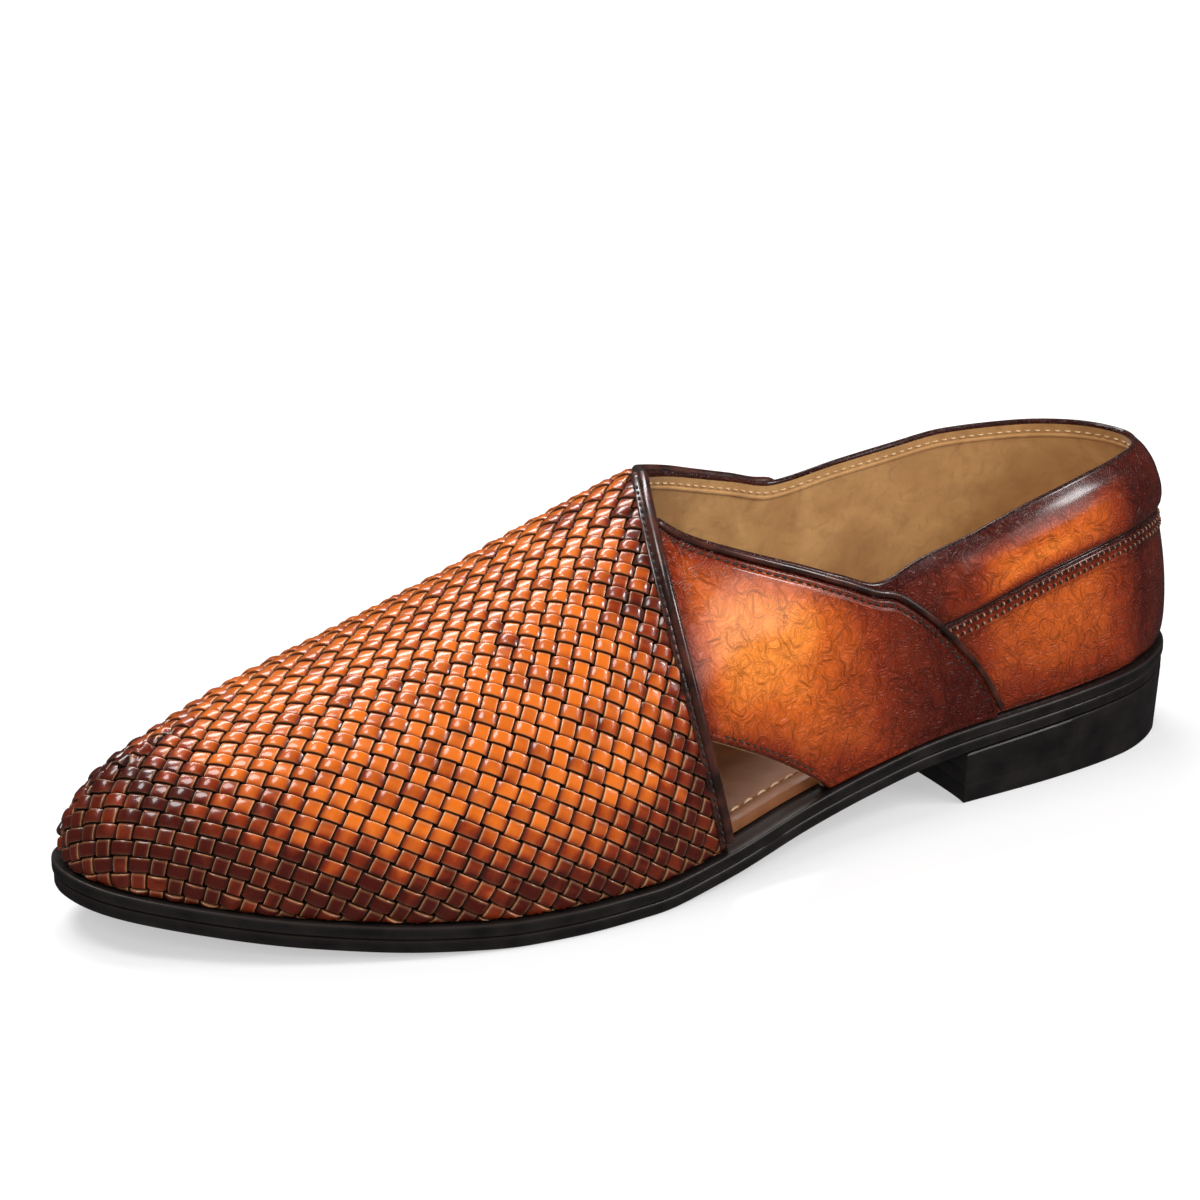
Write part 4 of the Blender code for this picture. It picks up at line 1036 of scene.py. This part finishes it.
def drape():
    """Sheet coordinates, in metres along rows and across them, on a mesh over the panel: the strips' directions
    are set on the outer side, and over the crest and on the inner side the sheet bends but does not stretch."""
    margin = np.linspace(EDGE_PLACE - 0.026, EDGE_PLACE, 5)[:-1]
    turns = np.linspace(EDGE_PLACE, 1, 42)
    wing = np.linspace(2 - margin[0], 2 - WING_PLACE + 0.02, 18)[1:]
    q = np.concatenate([margin, turns, 2 - turns[:-1][::-1], 2 - margin[::-1], wing])
    first = len(margin)
    last_glued = 2 * (first + len(turns)) - 2
    inner = q > 1
    low = np.where(inner, np.maximum(wing_low_v(np.maximum(q, 1.0)) - 0.07, -0.06), -0.07)
    top = np.where(q > 2 - margin[0] + 1e-9, np.minimum(1.0, wing_top_v(np.maximum(q, 1.0)) + 0.06), 1.0)
    share = np.linspace(0, 1, SHEET_ROWS + 1)
    v = low[:, None] + (top - low)[:, None] * share[None]
    q = np.repeat(q[:, None], SHEET_ROWS + 1, axis=1)
    spots = base_point(q, v)
    number = np.arange(q.size).reshape(q.shape)
    for i in range(last_glued + 1):
        number[i, -1] = number[min(i, last_glued - i), -1]
    used, number = np.unique(number, return_inverse=True)
    number = number.reshape(q.shape)
    corners, heelward, risers = [], [], []
    for i in range(q.shape[0] - 1):
        for j in range(SHEET_ROWS):
            for ring in (((i, j), (i, j + 1), (i + 1, j + 1)), ((i, j), (i + 1, j + 1), (i + 1, j))):
                if len({number[c] for c in ring}) == 3:
                    corners.append(ring)
                    heelward.append(spots[i, j] - spots[i + 1, j])
                    risers.append(spots[i, j + 1] - spots[i, j])
    corners = np.array(corners)
    at = (corners[..., 0], corners[..., 1])
    p = spots[at]
    normal = unit(np.cross(p[:, 1] - p[:, 0], p[:, 2] - p[:, 0]))
    ahead = np.array(heelward)
    ahead = unit(ahead - normal * np.sum(ahead * normal, axis=1, keepdims=True))
    up = np.cross(normal, ahead)
    riser = unit(np.array(risers))
    riser = np.stack([np.sum(riser * ahead, axis=1), np.sum(riser * up, axis=1)], axis=-1)
    local = np.stack([np.einsum("nkd,nd->nk", p - p[:, :1], ahead), np.einsum("nkd,nd->nk", p - p[:, :1], up)], -1)
    matrix = local[:, 1:]
    area = np.abs(np.linalg.det(matrix)) / 2
    gradient = np.linalg.inv(matrix) @ np.array([[-1.0, 1.0, 0.0], [-1.0, 0.0, 1.0]])
    ids = number[at]
    reach = np.mean(q[at] + 0.30 * np.maximum(v[at] - 0.66, 0), axis=1)
    held = (1 - smooth((reach - SET_UP_TO) / (FREE_FROM - SET_UP_TO)))[:, None, None]
    slope = np.radians(row_slope(np.mean(q[at], axis=1)))[:, None]
    lean = np.radians(column_lean(np.mean(q[at], axis=1)))[:, None]
    level_way = np.array([[1.0, 0.0]])
    row_way = unit(np.cos(slope) * level_way - np.sin(slope) * riser)
    column_way = unit(np.sin(lean) * level_way + np.cos(lean) * riser)
    set_here = np.linalg.inv(np.stack([row_way, column_way], axis=-1))
    angle = np.zeros(len(ids))
    system = np.zeros((len(used), len(used)))
    block = area[:, None, None] * np.einsum("nak,nal->nkl", gradient, gradient)
    np.add.at(system, (ids[:, :, None], ids[:, None, :]), block)
    system += np.eye(len(used)) * 1e-9
    inverse = np.linalg.inv(system)
    known = held > 0
    for step in range(80):
        wanted = np.stack([np.stack([np.cos(angle), -np.sin(angle)], -1),
                           np.stack([np.sin(angle), np.cos(angle)], -1)], axis=1)
        wanted = held * set_here + (1 - held) * wanted * known
        push = np.einsum("n,nak,nca->nkc", area, gradient, wanted)
        right = np.zeros((len(used), 2))
        np.add.at(right, ids, push)
        flat = inverse @ right
        slopes = np.einsum("nak,nkc->nca", gradient, flat[ids])
        turned = np.arctan2(slopes[:, 1, 0] - slopes[:, 0, 1], slopes[:, 0, 0] + slopes[:, 1, 1])
        angle = turned
        known[:] = True
    flat -= flat[number[first + len(turns) - 1, 0]]
    return q, v, corners, flat[number]


def lattice(q, v, corners, flat):
    """Points and normals of the last on an even lattice of the sheet, PER_CELL steps to a cell, and (q, v) there."""
    column = flat[..., 0] / COLUMN_PITCH * PER_CELL
    row = flat[..., 1] / ROW_PITCH * PER_CELL
    origin = np.array([math.floor(column.min() / 8) * 8, math.floor(row.min() / 8) * 8])
    size = np.array([math.ceil(column.max()), math.ceil(row.max())]) - origin + 2
    places = np.full((*size, 2), np.nan)
    at = (corners[..., 0], corners[..., 1])
    spots = np.stack([column[at] - origin[0], row[at] - origin[1]], axis=-1)
    both = np.stack([q[at], v[at]], axis=-1)
    for spot, pair in zip(spots, both):
        low = np.ceil(spot.min(axis=0)).astype(int)
        high = np.floor(spot.max(axis=0)).astype(int)
        if (high < low).any():
            continue
        x, y = np.meshgrid(np.arange(low[0], high[0] + 1), np.arange(low[1], high[1] + 1), indexing="ij")
        edges = spot[1:] - spot[0]
        determinant = edges[0, 0] * edges[1, 1] - edges[0, 1] * edges[1, 0]
        if abs(determinant) < 1e-9:
            continue
        dx, dy = x - spot[0, 0], y - spot[0, 1]
        b = (dx * edges[1, 1] - dy * edges[1, 0]) / determinant
        c = (dy * edges[0, 0] - dx * edges[0, 1]) / determinant
        hit = (b >= -1e-6) & (c >= -1e-6) & (b + c <= 1 + 1e-6)
        weights = np.stack([1 - b - c, b, c], axis=-1)[hit]
        places[x[hit], y[hit]] = weights @ pair
    good = ~np.isnan(places[..., 0])
    points = np.full((*size, 3), np.nan)
    normals = np.full((*size, 3), np.nan)
    points[good] = base_point(places[good][:, 0], places[good][:, 1])
    normals[good] = outward(places[good][:, 0], places[good][:, 1])
    return origin, places, points, normals


def inside(places):
    """Distance into the panel from its edge, in metres, past which its pipings hide it."""
    q, v = places[..., 0], places[..., 1]
    turn = np.minimum(q, 2 - q)
    outer = (q - EDGE_PLACE) * PER_PLACE * np.sin(math.pi * turn)
    girth = 0.080
    inner_q = np.maximum(np.nan_to_num(q, nan=1.0), 1.0)
    lower = (v - wing_low_v(inner_q)) * girth + 0.0012
    upper = np.where(turn < EDGE_PLACE, (wing_top_v(inner_q) - v) * girth + 0.0012, 1.0)
    share = np.where(q <= 1, outer, np.minimum(lower, upper))
    slope = np.hypot(np.gradient(share, COLUMN_PITCH / PER_CELL, axis=0), np.gradient(share, ROW_PITCH / PER_CELL, axis=1))
    return share / np.clip(np.nan_to_num(slope, nan=1.0), 0.5, 2.5)


def cubic(field, x, y):
    """Values of a lattice field between its points, smoothly."""
    i, j = np.floor(x).astype(int), np.floor(y).astype(int)
    fx, fy = x - i, y - j

    def weights(t):
        return (-0.5 * t + t ** 2 - 0.5 * t ** 3, 1 - 2.5 * t ** 2 + 1.5 * t ** 3,
                0.5 * t + 2 * t ** 2 - 1.5 * t ** 3, -0.5 * t ** 2 + 0.5 * t ** 3)

    total = 0.0
    for a, wa in enumerate(weights(fx)):
        for b, wb in enumerate(weights(fy)):
            part = field[np.clip(i + a - 1, 0, field.shape[0] - 1), np.clip(j + b - 1, 0, field.shape[1] - 1)]
            total = total + (wa * wb)[..., None] * part
    return total


# Across a strip: place, drop below its top, light edge (worn raw edge with painted highlight), dark side (painted
# shade)
ROW_PROFILE = (
    (-1.00, 1.00, 0.00, 1.00), (-1.00, 0.45, 0.10, 0.85), (-0.96, 0.10, 0.30, 0.30), (-0.86, 0.020, 0.05, 0.0),
    (-0.45, 0.0, 0.0, 0.0), (0.10, 0.0, 0.0, 0.0), (0.60, 0.0, 0.0, 0.0), (0.84, 0.020, 0.15, 0.0),
    (0.955, 0.08, 0.95, 0.0), (1.00, 0.45, 0.60, 0.10), (1.00, 1.00, 0.00, 1.00),
)
COLUMN_PROFILE = (
    (-1.00, 1.00, 0.00, 1.00), (-1.00, 0.45, 0.75, 0.20), (-0.95, 0.08, 1.00, 0.0), (-0.83, 0.020, 0.12, 0.0),
    (-0.50, 0.0, 0.0, 0.0), (0.0, 0.0, 0.0, 0.0), (0.50, 0.0, 0.0, 0.0), (0.83, 0.020, 0.10, 0.0),
    (0.95, 0.08, 0.85, 0.0), (1.00, 0.45, 0.40, 0.40), (1.00, 1.00, 0.00, 1.00),
)
ALONG = (-1.0, -0.90, -0.80, -0.68, -0.45, 0.0, 0.45, 0.68, 0.80, 0.90, 1.0)
STRIP_FOOT = 0.0005
STRIP_KINDS = {
    # half length and half width in cells, height of the middle over the foot, how flat the top is, wear and painted
    # highlight at its upper end, profile across
    "rows": (0.655, 0.415, 0.00150, 2.2, 0.00, ROW_PROFILE),
    "columns": (0.630, 0.370, 0.00095, 4.5, 0.55, COLUMN_PROFILE),
}


def build_weave():
    q, v, corners, flat = drape()
    origin, places, points, normals = lattice(q, v, corners, flat)
    depth = inside(places)[..., None]
    chance = np.random.default_rng(11)
    size = np.array(places.shape[:2]) // PER_CELL
    tones = chance.uniform(-1, 1, (*size, 3))
    along = np.array(ALONG)
    for kind, (half_length, half_width, height, flatness, end_wear_and_highlight, profile) in STRIP_KINDS.items():
        across, drop, wear_and_highlight_row, shade_row = np.array(profile).T
        over = 0 if kind == "rows" else 1
        cells = [(i, j) for i in range(1, size[0] - 1) for j in range(1, size[1] - 1) if (i + j) % 2 == over]
        cells = np.array(cells)
        centre = (cells + 0.5) * PER_CELL
        found = cubic(depth, centre[:, 0], centre[:, 1])[:, 0]
        cells = cells[np.nan_to_num(found, nan=-1.0) > -0.0025]
        tone = tones[cells[:, 0], cells[:, 1]]
        s = along[None, :, None] * np.ones((len(cells), 1, len(across)))
        t = across[None, None, :] * np.ones((len(cells), len(along), 1))
        lean = tone[:, 1, None, None] * 0.02
        wide = half_width * (1 + 0.03 * tone[:, 2, None, None]) * (1 - 0.05 * s ** 2)
        if kind == "rows":
            x = cells[:, 0, None, None] + 0.5 + s * half_length
            y = cells[:, 1, None, None] + 0.5 + t * wide + lean * s
        else:
            x = cells[:, 0, None, None] + 0.5 + t * wide + lean * s
            y = cells[:, 1, None, None] + 0.5 + s * half_length
        base = cubic(points, x * PER_CELL, y * PER_CELL)
        normal = unit(cubic(normals, x * PER_CELL, y * PER_CELL))
        deep = cubic(depth, x * PER_CELL, y * PER_CELL)[..., 0]
        arch = 1 - np.abs(s) ** flatness
        crown = 0.00010 * (1 - t ** 2)
        top = STRIP_FOOT + (height * (1 + 0.05 * tone[:, 0, None, None])) * arch + crown
        rise = top - (top - 0.8 * STRIP_FOOT) * drop[None, None, :] * np.where(drop[None, None, :] < 0.9, 0.55, 1.0)
        made = base + normal * rise[..., None]
        floor = seat(0.5 - made[..., 0] / LENGTH) + GAP
        made[..., 2] = np.maximum(made[..., 2], floor)
        girth = made[..., 2] - floor
        made[..., 1] += SIDE_SHIFT
        nose = smooth((turn_of(0.5 - base[..., 0] / LENGTH) - 0.70) / 0.25)
        burnish_and_painted_light = (0.95 * np.exp(-(girth / 0.018) ** 2) + 1.05 * nose * (1 - smooth((girth - 0.012) / 0.026))
                   + 0.70 * np.exp(-(np.maximum(deep, 0) / 0.011) ** 2) + 0.30 * smooth((nose - 0.1) / 0.5))
        # Painted shade: each strip darkens towards its ends, where they dip under the crossing strips
        burnish_and_painted_light = burnish_and_painted_light + (0.32 if kind == "rows" else 0.22) * smooth((np.abs(s) - 0.25) / 0.5)
        ends = smooth((np.abs(s) - 0.70) / 0.16)
        # Wear and painted highlight on the lit edges and the columns' upper ends, none on the shaded ends
        wear_and_highlight = wear_and_highlight_row[None, None, :] * (1 - ends) + end_wear_and_highlight * np.exp(-((s - 0.72) / 0.06) ** 2)
        # Painted shadow: the strips' lower sides and their ends go near black, as the gaps between strips lie in shade
        painted_shade_and_dark_edge = np.maximum(shade_row[None, None, :] * np.ones_like(s), ends)
        count = len(along) * len(across)
        template = np.array(grid_faces(len(along), len(across)))
        if kind == "rows":
            template = template[:, ::-1]
        faces = (np.arange(len(cells))[:, None, None] * count + template[None]).reshape(-1, 4)
        flat_deep = deep.reshape(-1)
        good = np.isfinite(made.reshape(-1, 3)).all(axis=1)
        keep = good[faces].all(axis=1) & (np.nan_to_num(flat_deep[faces], nan=-1.0).mean(axis=1) > 0.0002)
        faces = faces[keep]
        used, faces = np.unique(faces, return_inverse=True)
        faces = faces.reshape(-1, 4)

        def kept(values):
            return np.broadcast_to(values, s.shape).reshape(-1)[used]

        new_piece("woven_" + kind, made.reshape(-1, 3)[used], faces.tolist(), [WOVEN],
                  ("woven_vamp",), {"burnish_and_painted_light": kept(np.clip(burnish_and_painted_light, 0, 1)), "wear_and_highlight": kept(np.clip(wear_and_highlight, 0, 1)),
                                    "painted_shade_and_dark_edge": kept(painted_shade_and_dark_edge), "tone": kept(tone[:, 0, None, None])})


# Strap over the outer side
def build_strap():
    q = np.concatenate([np.linspace(STRAP_PLACE, CUT_OUT_PLACE, 90)[:-1],
                        np.linspace(CUT_OUT_PLACE, REAR_OF_PIPING + 0.001, 60)])
    low, top = strap_low_v(q), strap_top_v(q)
    edge = ((0.0, 0.0), (0.0, 0.55), (0.003, 0.88), (0.007, 1.0), (0.013, 1.0), (0.0165, 0.72), (0.020, 1.0))
    spread = np.linspace(0, 1, 40)
    rows, outs = [], []
    for inset, share in edge:
        rows.append(low + inset)
        outs.append(share)
    for share in spread[1:-1]:
        rows.append(low + 0.020 + (top - low - 0.040) * share)
        outs.append(1.0)
    for inset, share in reversed(edge):
        rows.append(top - inset)
        outs.append(share)
    v = np.stack(rows, axis=1)
    places = np.repeat(q[:, None], v.shape[1], axis=1)
    plain = surface(places, v)
    out = LIFT + STRAP_THICKNESS * np.array(outs)[None]
    # Soft swells and troughs where the strap is pulled between the throat and the heel
    for (x, z, lean, long, wide, depth) in STRAP_CREASES:
        ax = plain[..., 0] - x
        az = plain[..., 2] - z
        along = ax * math.cos(lean) + az * math.sin(lean)
        over = -ax * math.sin(lean) + az * math.cos(lean)
        out = out + depth * np.exp(-(over / wide) ** 2 - (along / long) ** 2) * (np.array(outs)[None] > 0.9)
    points = surface(places, v, out)
    faces = grid_faces(len(q), v.shape[1])
    from_top = np.linalg.norm(points - points[:, -1:], axis=-1)
    from_low = np.linalg.norm(points - points[:, :1], axis=-1)
    from_piping = (REAR_OF_PIPING - places) * PER_PLACE
    burnish_and_painted_light = np.maximum(0.90 * np.exp(-(from_top / 0.008) ** 1.3), 0.60 * np.exp(-(from_low / 0.007) ** 1.3))
    burnish_and_painted_light = np.maximum(burnish_and_painted_light, 0.80 * np.exp(-(np.maximum(from_piping, 0) / 0.005) ** 1.3))
    burnish_and_painted_light = np.maximum(burnish_and_painted_light, 0.50 * np.exp(-((points[..., 2] - 0.016) / 0.010) ** 2))
    burnish_and_painted_light = np.maximum(burnish_and_painted_light, 0.88 * smooth((points[..., 0] + 0.4 * (points[..., 2] - 0.03) - 0.018) / 0.048))
    burnish_and_painted_light = burnish_and_painted_light + 0.15 * smooth((0.045 - points[..., 2]) / 0.02)
    # Painted glow: a lighter patch where light pools on the strap's upper middle
    burnish_and_painted_light = burnish_and_painted_light - 0.45 * np.exp(-((points[..., 0] - 0.014) / 0.024) ** 2 - ((points[..., 2] - 0.058) / 0.015) ** 2)
    # Darker edges, with painted shade beside the cord and in the stitch groove 1.5 mm in
    from_edge = np.minimum(from_top, from_low)
    edge_dark = 0.9 * np.exp(-(from_edge / 0.0008) ** 2) + 0.5 * np.exp(-((from_edge - 0.0015) / 0.0003) ** 2)
    new_piece("strap_leather", points.reshape(-1, 3), faces, [SMOOTH], ("outer_strap",),
              {"burnish_and_painted_light": burnish_and_painted_light, "painted_shade_and_dark_edge": edge_dark})


STRAP_CREASES = (
    (0.022, 0.045, -0.35, 0.020, 0.0040, -0.00030),
    (0.034, 0.036, -0.45, 0.018, 0.0035, -0.00028),
    (0.012, 0.052, -0.20, 0.012, 0.0050, 0.00035),
)


# Flat flange of the woven panel's piping, sewn down beside it
FLANGE_ASIDE = 0.0019
FLANGE_OUT = 0.0017


def build_bindings():
    count = 240
    up_v = np.linspace(0.015, 0.97, count)
    up, up_n = edge_route(np.full(count, EDGE_PLACE), up_v, 0.0, LIFT + PIPING_RADIUS, 0.002)
    turn = np.concatenate([np.linspace(EDGE_PLACE - 0.020, WING_DIP, 160), np.linspace(WING_DIP, WING_PLACE, 90)[1:]])
    rim, rim_n = edge_route(2 - turn, wing_top_v(2 - turn), -(PIPING_RADIUS + LIFT + GAP), LIFT + PIPING_RADIUS, 0.002)
    route = np.concatenate([np.hstack([up, up_n]), np.hstack([rim, rim_n])])
    route = even_route(route, 0.0010, 20)
    points, faces = tube_mesh(route[:, :3], unit(route[:, 3:]), PIPING_RADIUS, PIPING_RADIUS, 16)
    new_piece("vamp_piping", points, faces, [DARK], ("vamp_binding",))
    over = 30
    q = np.concatenate([np.full(count, EDGE_PLACE), np.full(over, 2 - EDGE_PLACE)])
    v = np.concatenate([np.linspace(0.012, 0.99, count), np.linspace(0.99, 0.93, over)])
    out = np.concatenate([np.full(count, FLANGE_OUT), FLANGE_OUT - 0.0024 * np.linspace(0, 1, over) ** 2])
    flat, flat_n = edge_route(q, v, FLANGE_ASIDE, out, 0.0012, 6)
    points, faces = tube_mesh(flat, flat_n, 0.0009, 0.0004, 12)
    new_piece("piping_flange", points, faces, [DARK])
    turn = np.linspace(float(turn_of(WING_FRONT)) + 0.006, float(turn_of(WING_LOWER[-1][0])), 300)
    low, low_n = edge_route(2 - turn, wing_low_v(2 - turn), -(PIPING_RADIUS + LIFT), LIFT + PIPING_RADIUS, 0.0010, 8)
    points, faces = tube_mesh(low, low_n, PIPING_RADIUS, PIPING_RADIUS, 16)
    new_piece("wing_piping", points, faces, [DARK], ("wing_binding",))
    q = np.linspace(REAR_OF_PIPING + 0.002, STRAP_PLACE, 300)
    cord, cord_n = edge_route(q, strap_top_v(q), CORD_RADIUS + LIFT, LIFT + CORD_RADIUS, 0.0008, 30)
    # Its rear end runs on into the welt
    tail = cord[-1] + unit(cord[-1] - cord[-3]) * 0.0018
    cord, cord_n = np.vstack([cord, tail]), np.vstack([cord_n, cord_n[-1]])
    points, faces = tube_mesh(cord, cord_n, CORD_RADIUS, CORD_RADIUS, 12)
    new_piece("strap_edge_cord", points, faces, [DARK], ("strap_cord",))


def build_lining_edge():
    """The lining's folded edge just inside the rim, with its light stitches."""
    q = np.linspace(2 - EDGE_PLACE + 0.012, 2 + REAR_OF_PIPING - 0.006, 900)
    turn = turn_at(q)
    rim = np.where((q > 1) & (q < 2), inner_rim(turn), outer_rim(turn))


    def inner_route(below, spacing):
        v = level(q, rim - below)
        points = surface(q % 2.0, v, -WALL - 0.0001, padded=False)
        route = even_route(np.hstack([points, outward(q % 2.0, v)]), spacing)
        return route[:, :3], unit(route[:, 3:])

    edge, edge_n = inner_route(0.0034, 0.0012)
    points, faces = tube_mesh(edge, edge_n, 0.0006, 0.0003, 8)
    new_piece("lining_edge", points, faces, [LINING])
    seam, seam_n = inner_route(0.0020, 0.0007)
    points, faces = stitch_mesh(seam, -seam_n, 0.0016, 0.0026, 0.00022)
    new_piece("lining_stitches", points, faces, [LIGHT_THREAD])


def build_stitches():
    parts, bridge_highlights = [], []

    def row(q, v, aside, out, length=0.0015, pitch=0.0022, thickness=0.00036, bridge_highlight_size=(0.0006, 0.00026)):
        points, normals = edge_route(q, v, aside, out, 0.0007)
        parts.append(stitch_mesh(points, normals, length, pitch, thickness))
        inset = max(1, int(round(pitch / 2 / 0.0007)))
        # Small light bars between the stitches, as painted highlights
        bridge_highlights.append(stitch_mesh(points[inset:-inset], normals[inset:-inset], bridge_highlight_size[0], pitch, bridge_highlight_size[1]))

    on_strap = LIFT + STRAP_THICKNESS
    q = np.linspace(REAR_OF_PIPING - 0.006, STRAP_PLACE + 0.004, 300)
    row(q, strap_top_v(q), -0.0014, on_strap - 0.0002)
    q = np.linspace(CUT_OUT_PLACE + 0.012, REAR_OF_PIPING - 0.006, 160)
    row(q, strap_low_v(q), -0.0014, on_strap - 0.0002)
    # Double row round the heel, below the padded roll
    for below in (0.0014, 0.0034):
        q = np.concatenate([np.linspace(2 - WING_PLACE - 0.055, 2.0, 200), np.linspace(0.0, STRAP_PLACE + 0.035, 160)[1:]])
        turn = turn_at(q)
        rim = np.where(q > 1, np.where(q >= 2, outer_rim(turn), inner_rim(turn)), outer_rim(turn))
        row(q, level(q, rim - ROLL_HEIGHT - below), 0.0, 0.0001, 0.0012, 0.0021, 0.00052, (0.0011, 0.00054))
    # Row beside the woven panel's piping, on its flange
    up_v = np.linspace(0.02, 0.93, 300)
    row(np.full(300, EDGE_PLACE), up_v, FLANGE_ASIDE, FLANGE_OUT + 0.0004)
    points, faces = joined(parts)
    new_piece("leather_stitches", points, faces, [BLACK_THREAD])
    points, faces = joined(bridge_highlights)
    new_piece("stitch_bridge_highlights", points, faces, [BRIDGE_HIGHLIGHT])


# Stage
def build_stage():
    material = bpy.data.materials.new("floor_white")
    material.use_nodes = True
    shader = material.node_tree.nodes["Principled BSDF"]
    shader.inputs["Base Color"].default_value = (0.45, 0.45, 0.45, 1.0)
    shader.inputs["Roughness"].default_value = 0.65
    shader.inputs["Specular IOR Level"].default_value = 0.2
    shader.inputs["Emission Color"].default_value = (1.0, 1.0, 1.0, 1.0)
    # The floor brightens away from the shoe, as a white sweep does
    tree = material.node_tree
    place = tree.nodes.new("ShaderNodeTexCoord")
    reach = tree.nodes.new("ShaderNodeVectorMath")
    reach.operation = "LENGTH"
    glow = tree.nodes.new("ShaderNodeMapRange")
    for key, number in (("From Min", 0.20), ("From Max", 1.10), ("To Min", 0.46), ("To Max", 1.0)):
        glow.inputs[key].default_value = number
    tree.links.new(place.outputs["Object"], reach.inputs[0])
    tree.links.new(reach.outputs["Value"], glow.inputs["Value"])
    tree.links.new(glow.outputs[0], shader.inputs["Emission Strength"])
    mesh = bpy.data.meshes.new("floor")
    far = 6.0
    mesh.from_pydata([(-far, -far, 0), (far, -far, 0), (far, far, 0), (-far, far, 0)], [], [(0, 1, 2, 3)])
    mesh.materials.append(material)
    floor = bpy.data.objects.new("floor", mesh)
    bpy.context.scene.collection.objects.link(floor)
    floor.visible_glossy = False

    world = bpy.data.worlds.new("studio")
    world.use_nodes = True
    world.node_tree.nodes["Background"].inputs["Color"].default_value = (1.0, 1.0, 1.0, 1.0)
    tree = world.node_tree
    path = tree.nodes.new("ShaderNodeLightPath")
    surround = tree.nodes.new("ShaderNodeMapRange")
    surround.inputs["To Min"].default_value = 0.34
    surround.inputs["To Max"].default_value = 0.04
    tree.links.new(path.outputs["Is Glossy Ray"], surround.inputs["Value"])
    backdrop = tree.nodes.new("ShaderNodeMath")
    backdrop.operation = "MAXIMUM"
    tree.links.new(path.outputs["Is Camera Ray"], backdrop.inputs[0])
    tree.links.new(surround.outputs[0], backdrop.inputs[1])
    tree.links.new(backdrop.outputs[0], tree.nodes["Background"].inputs["Strength"])
    bpy.context.scene.world = world
    bpy.context.scene.view_settings.view_transform = "Standard"

    def lamp(name, place, aim, size, power, glints=True):
        light = bpy.data.lights.new(name, "AREA")
        light.shape = "RECTANGLE"
        light.size, light.size_y = size
        light.energy = power
        item = bpy.data.objects.new(name, light)
        item.location = place
        item.visible_glossy = glints
        item.rotation_euler = (Vector(aim) - Vector(place)).to_track_quat("-Z", "Y").to_euler()
        bpy.context.scene.collection.objects.link(item)

    lamp("back_top", (0.05, 0.60, 0.94), (0.0, 0.0, 0.03), (0.80, 0.26), 8.5)
    lamp("over_toe", (-0.50, 0.05, 1.05), (-0.05, 0.0, 0.03), (0.42, 0.38), 5.2)
    lamp("roll_glint", (0.74, -0.46, 0.70), (0.10, 0.0, 0.06), (0.20, 0.20), 3.2)
    lamp("right_front", (0.72, -0.66, 0.50), (0.03, 0.0, 0.03), (0.34, 0.40), 1.3)
    lamp("left_front", (-0.80, -0.90, 0.70), (0.0, 0.0, 0.03), (0.80, 0.60), 9.0, glints=False)
    lamp("front_fill", (0.60, -1.00, 0.60), (0.02, 0.0, 0.03), (0.60, 0.50), 6.0, glints=False)


# Camera at the photograph's angle: degrees, metres, and pixels of a 1200 frame
def build_camera():
    azimuth, elevation, roll = math.radians(-29.559), math.radians(18.872), math.radians(-0.177)
    distance, focal = 0.85985, 3470.4
    target = np.array([0.00325, 0.03009 + SIDE_SHIFT, 0.04569])
    back = np.array([math.sin(azimuth) * math.cos(elevation), -math.cos(azimuth) * math.cos(elevation),
                     math.sin(elevation)])
    right = np.array([math.cos(azimuth), math.sin(azimuth), 0.0])
    up = np.cross(back, right)
    rolled_right = math.cos(roll) * right + math.sin(roll) * up
    rolled_up = -math.sin(roll) * right + math.cos(roll) * up
    data = bpy.data.cameras.new("camera")
    data.sensor_width = 36.0
    data.lens = 36.0 * focal / 1200
    data.clip_start = 0.01
    camera = bpy.data.objects.new("camera", data)
    place = target + back * distance
    camera.matrix_world = Matrix([[rolled_right[k], rolled_up[k], back[k], place[k]] for k in range(3)] + [[0, 0, 0, 1]])
    bpy.context.scene.collection.objects.link(camera)
    bpy.context.scene.camera = camera


build_camera()
build_stage()
build_sole()
build_heel()
build_upper()
build_weave()
build_strap()
build_bindings()
build_stitches()
build_lining_edge()


def plain(box):
    return [[float(number) for number in corner] for corner in box]
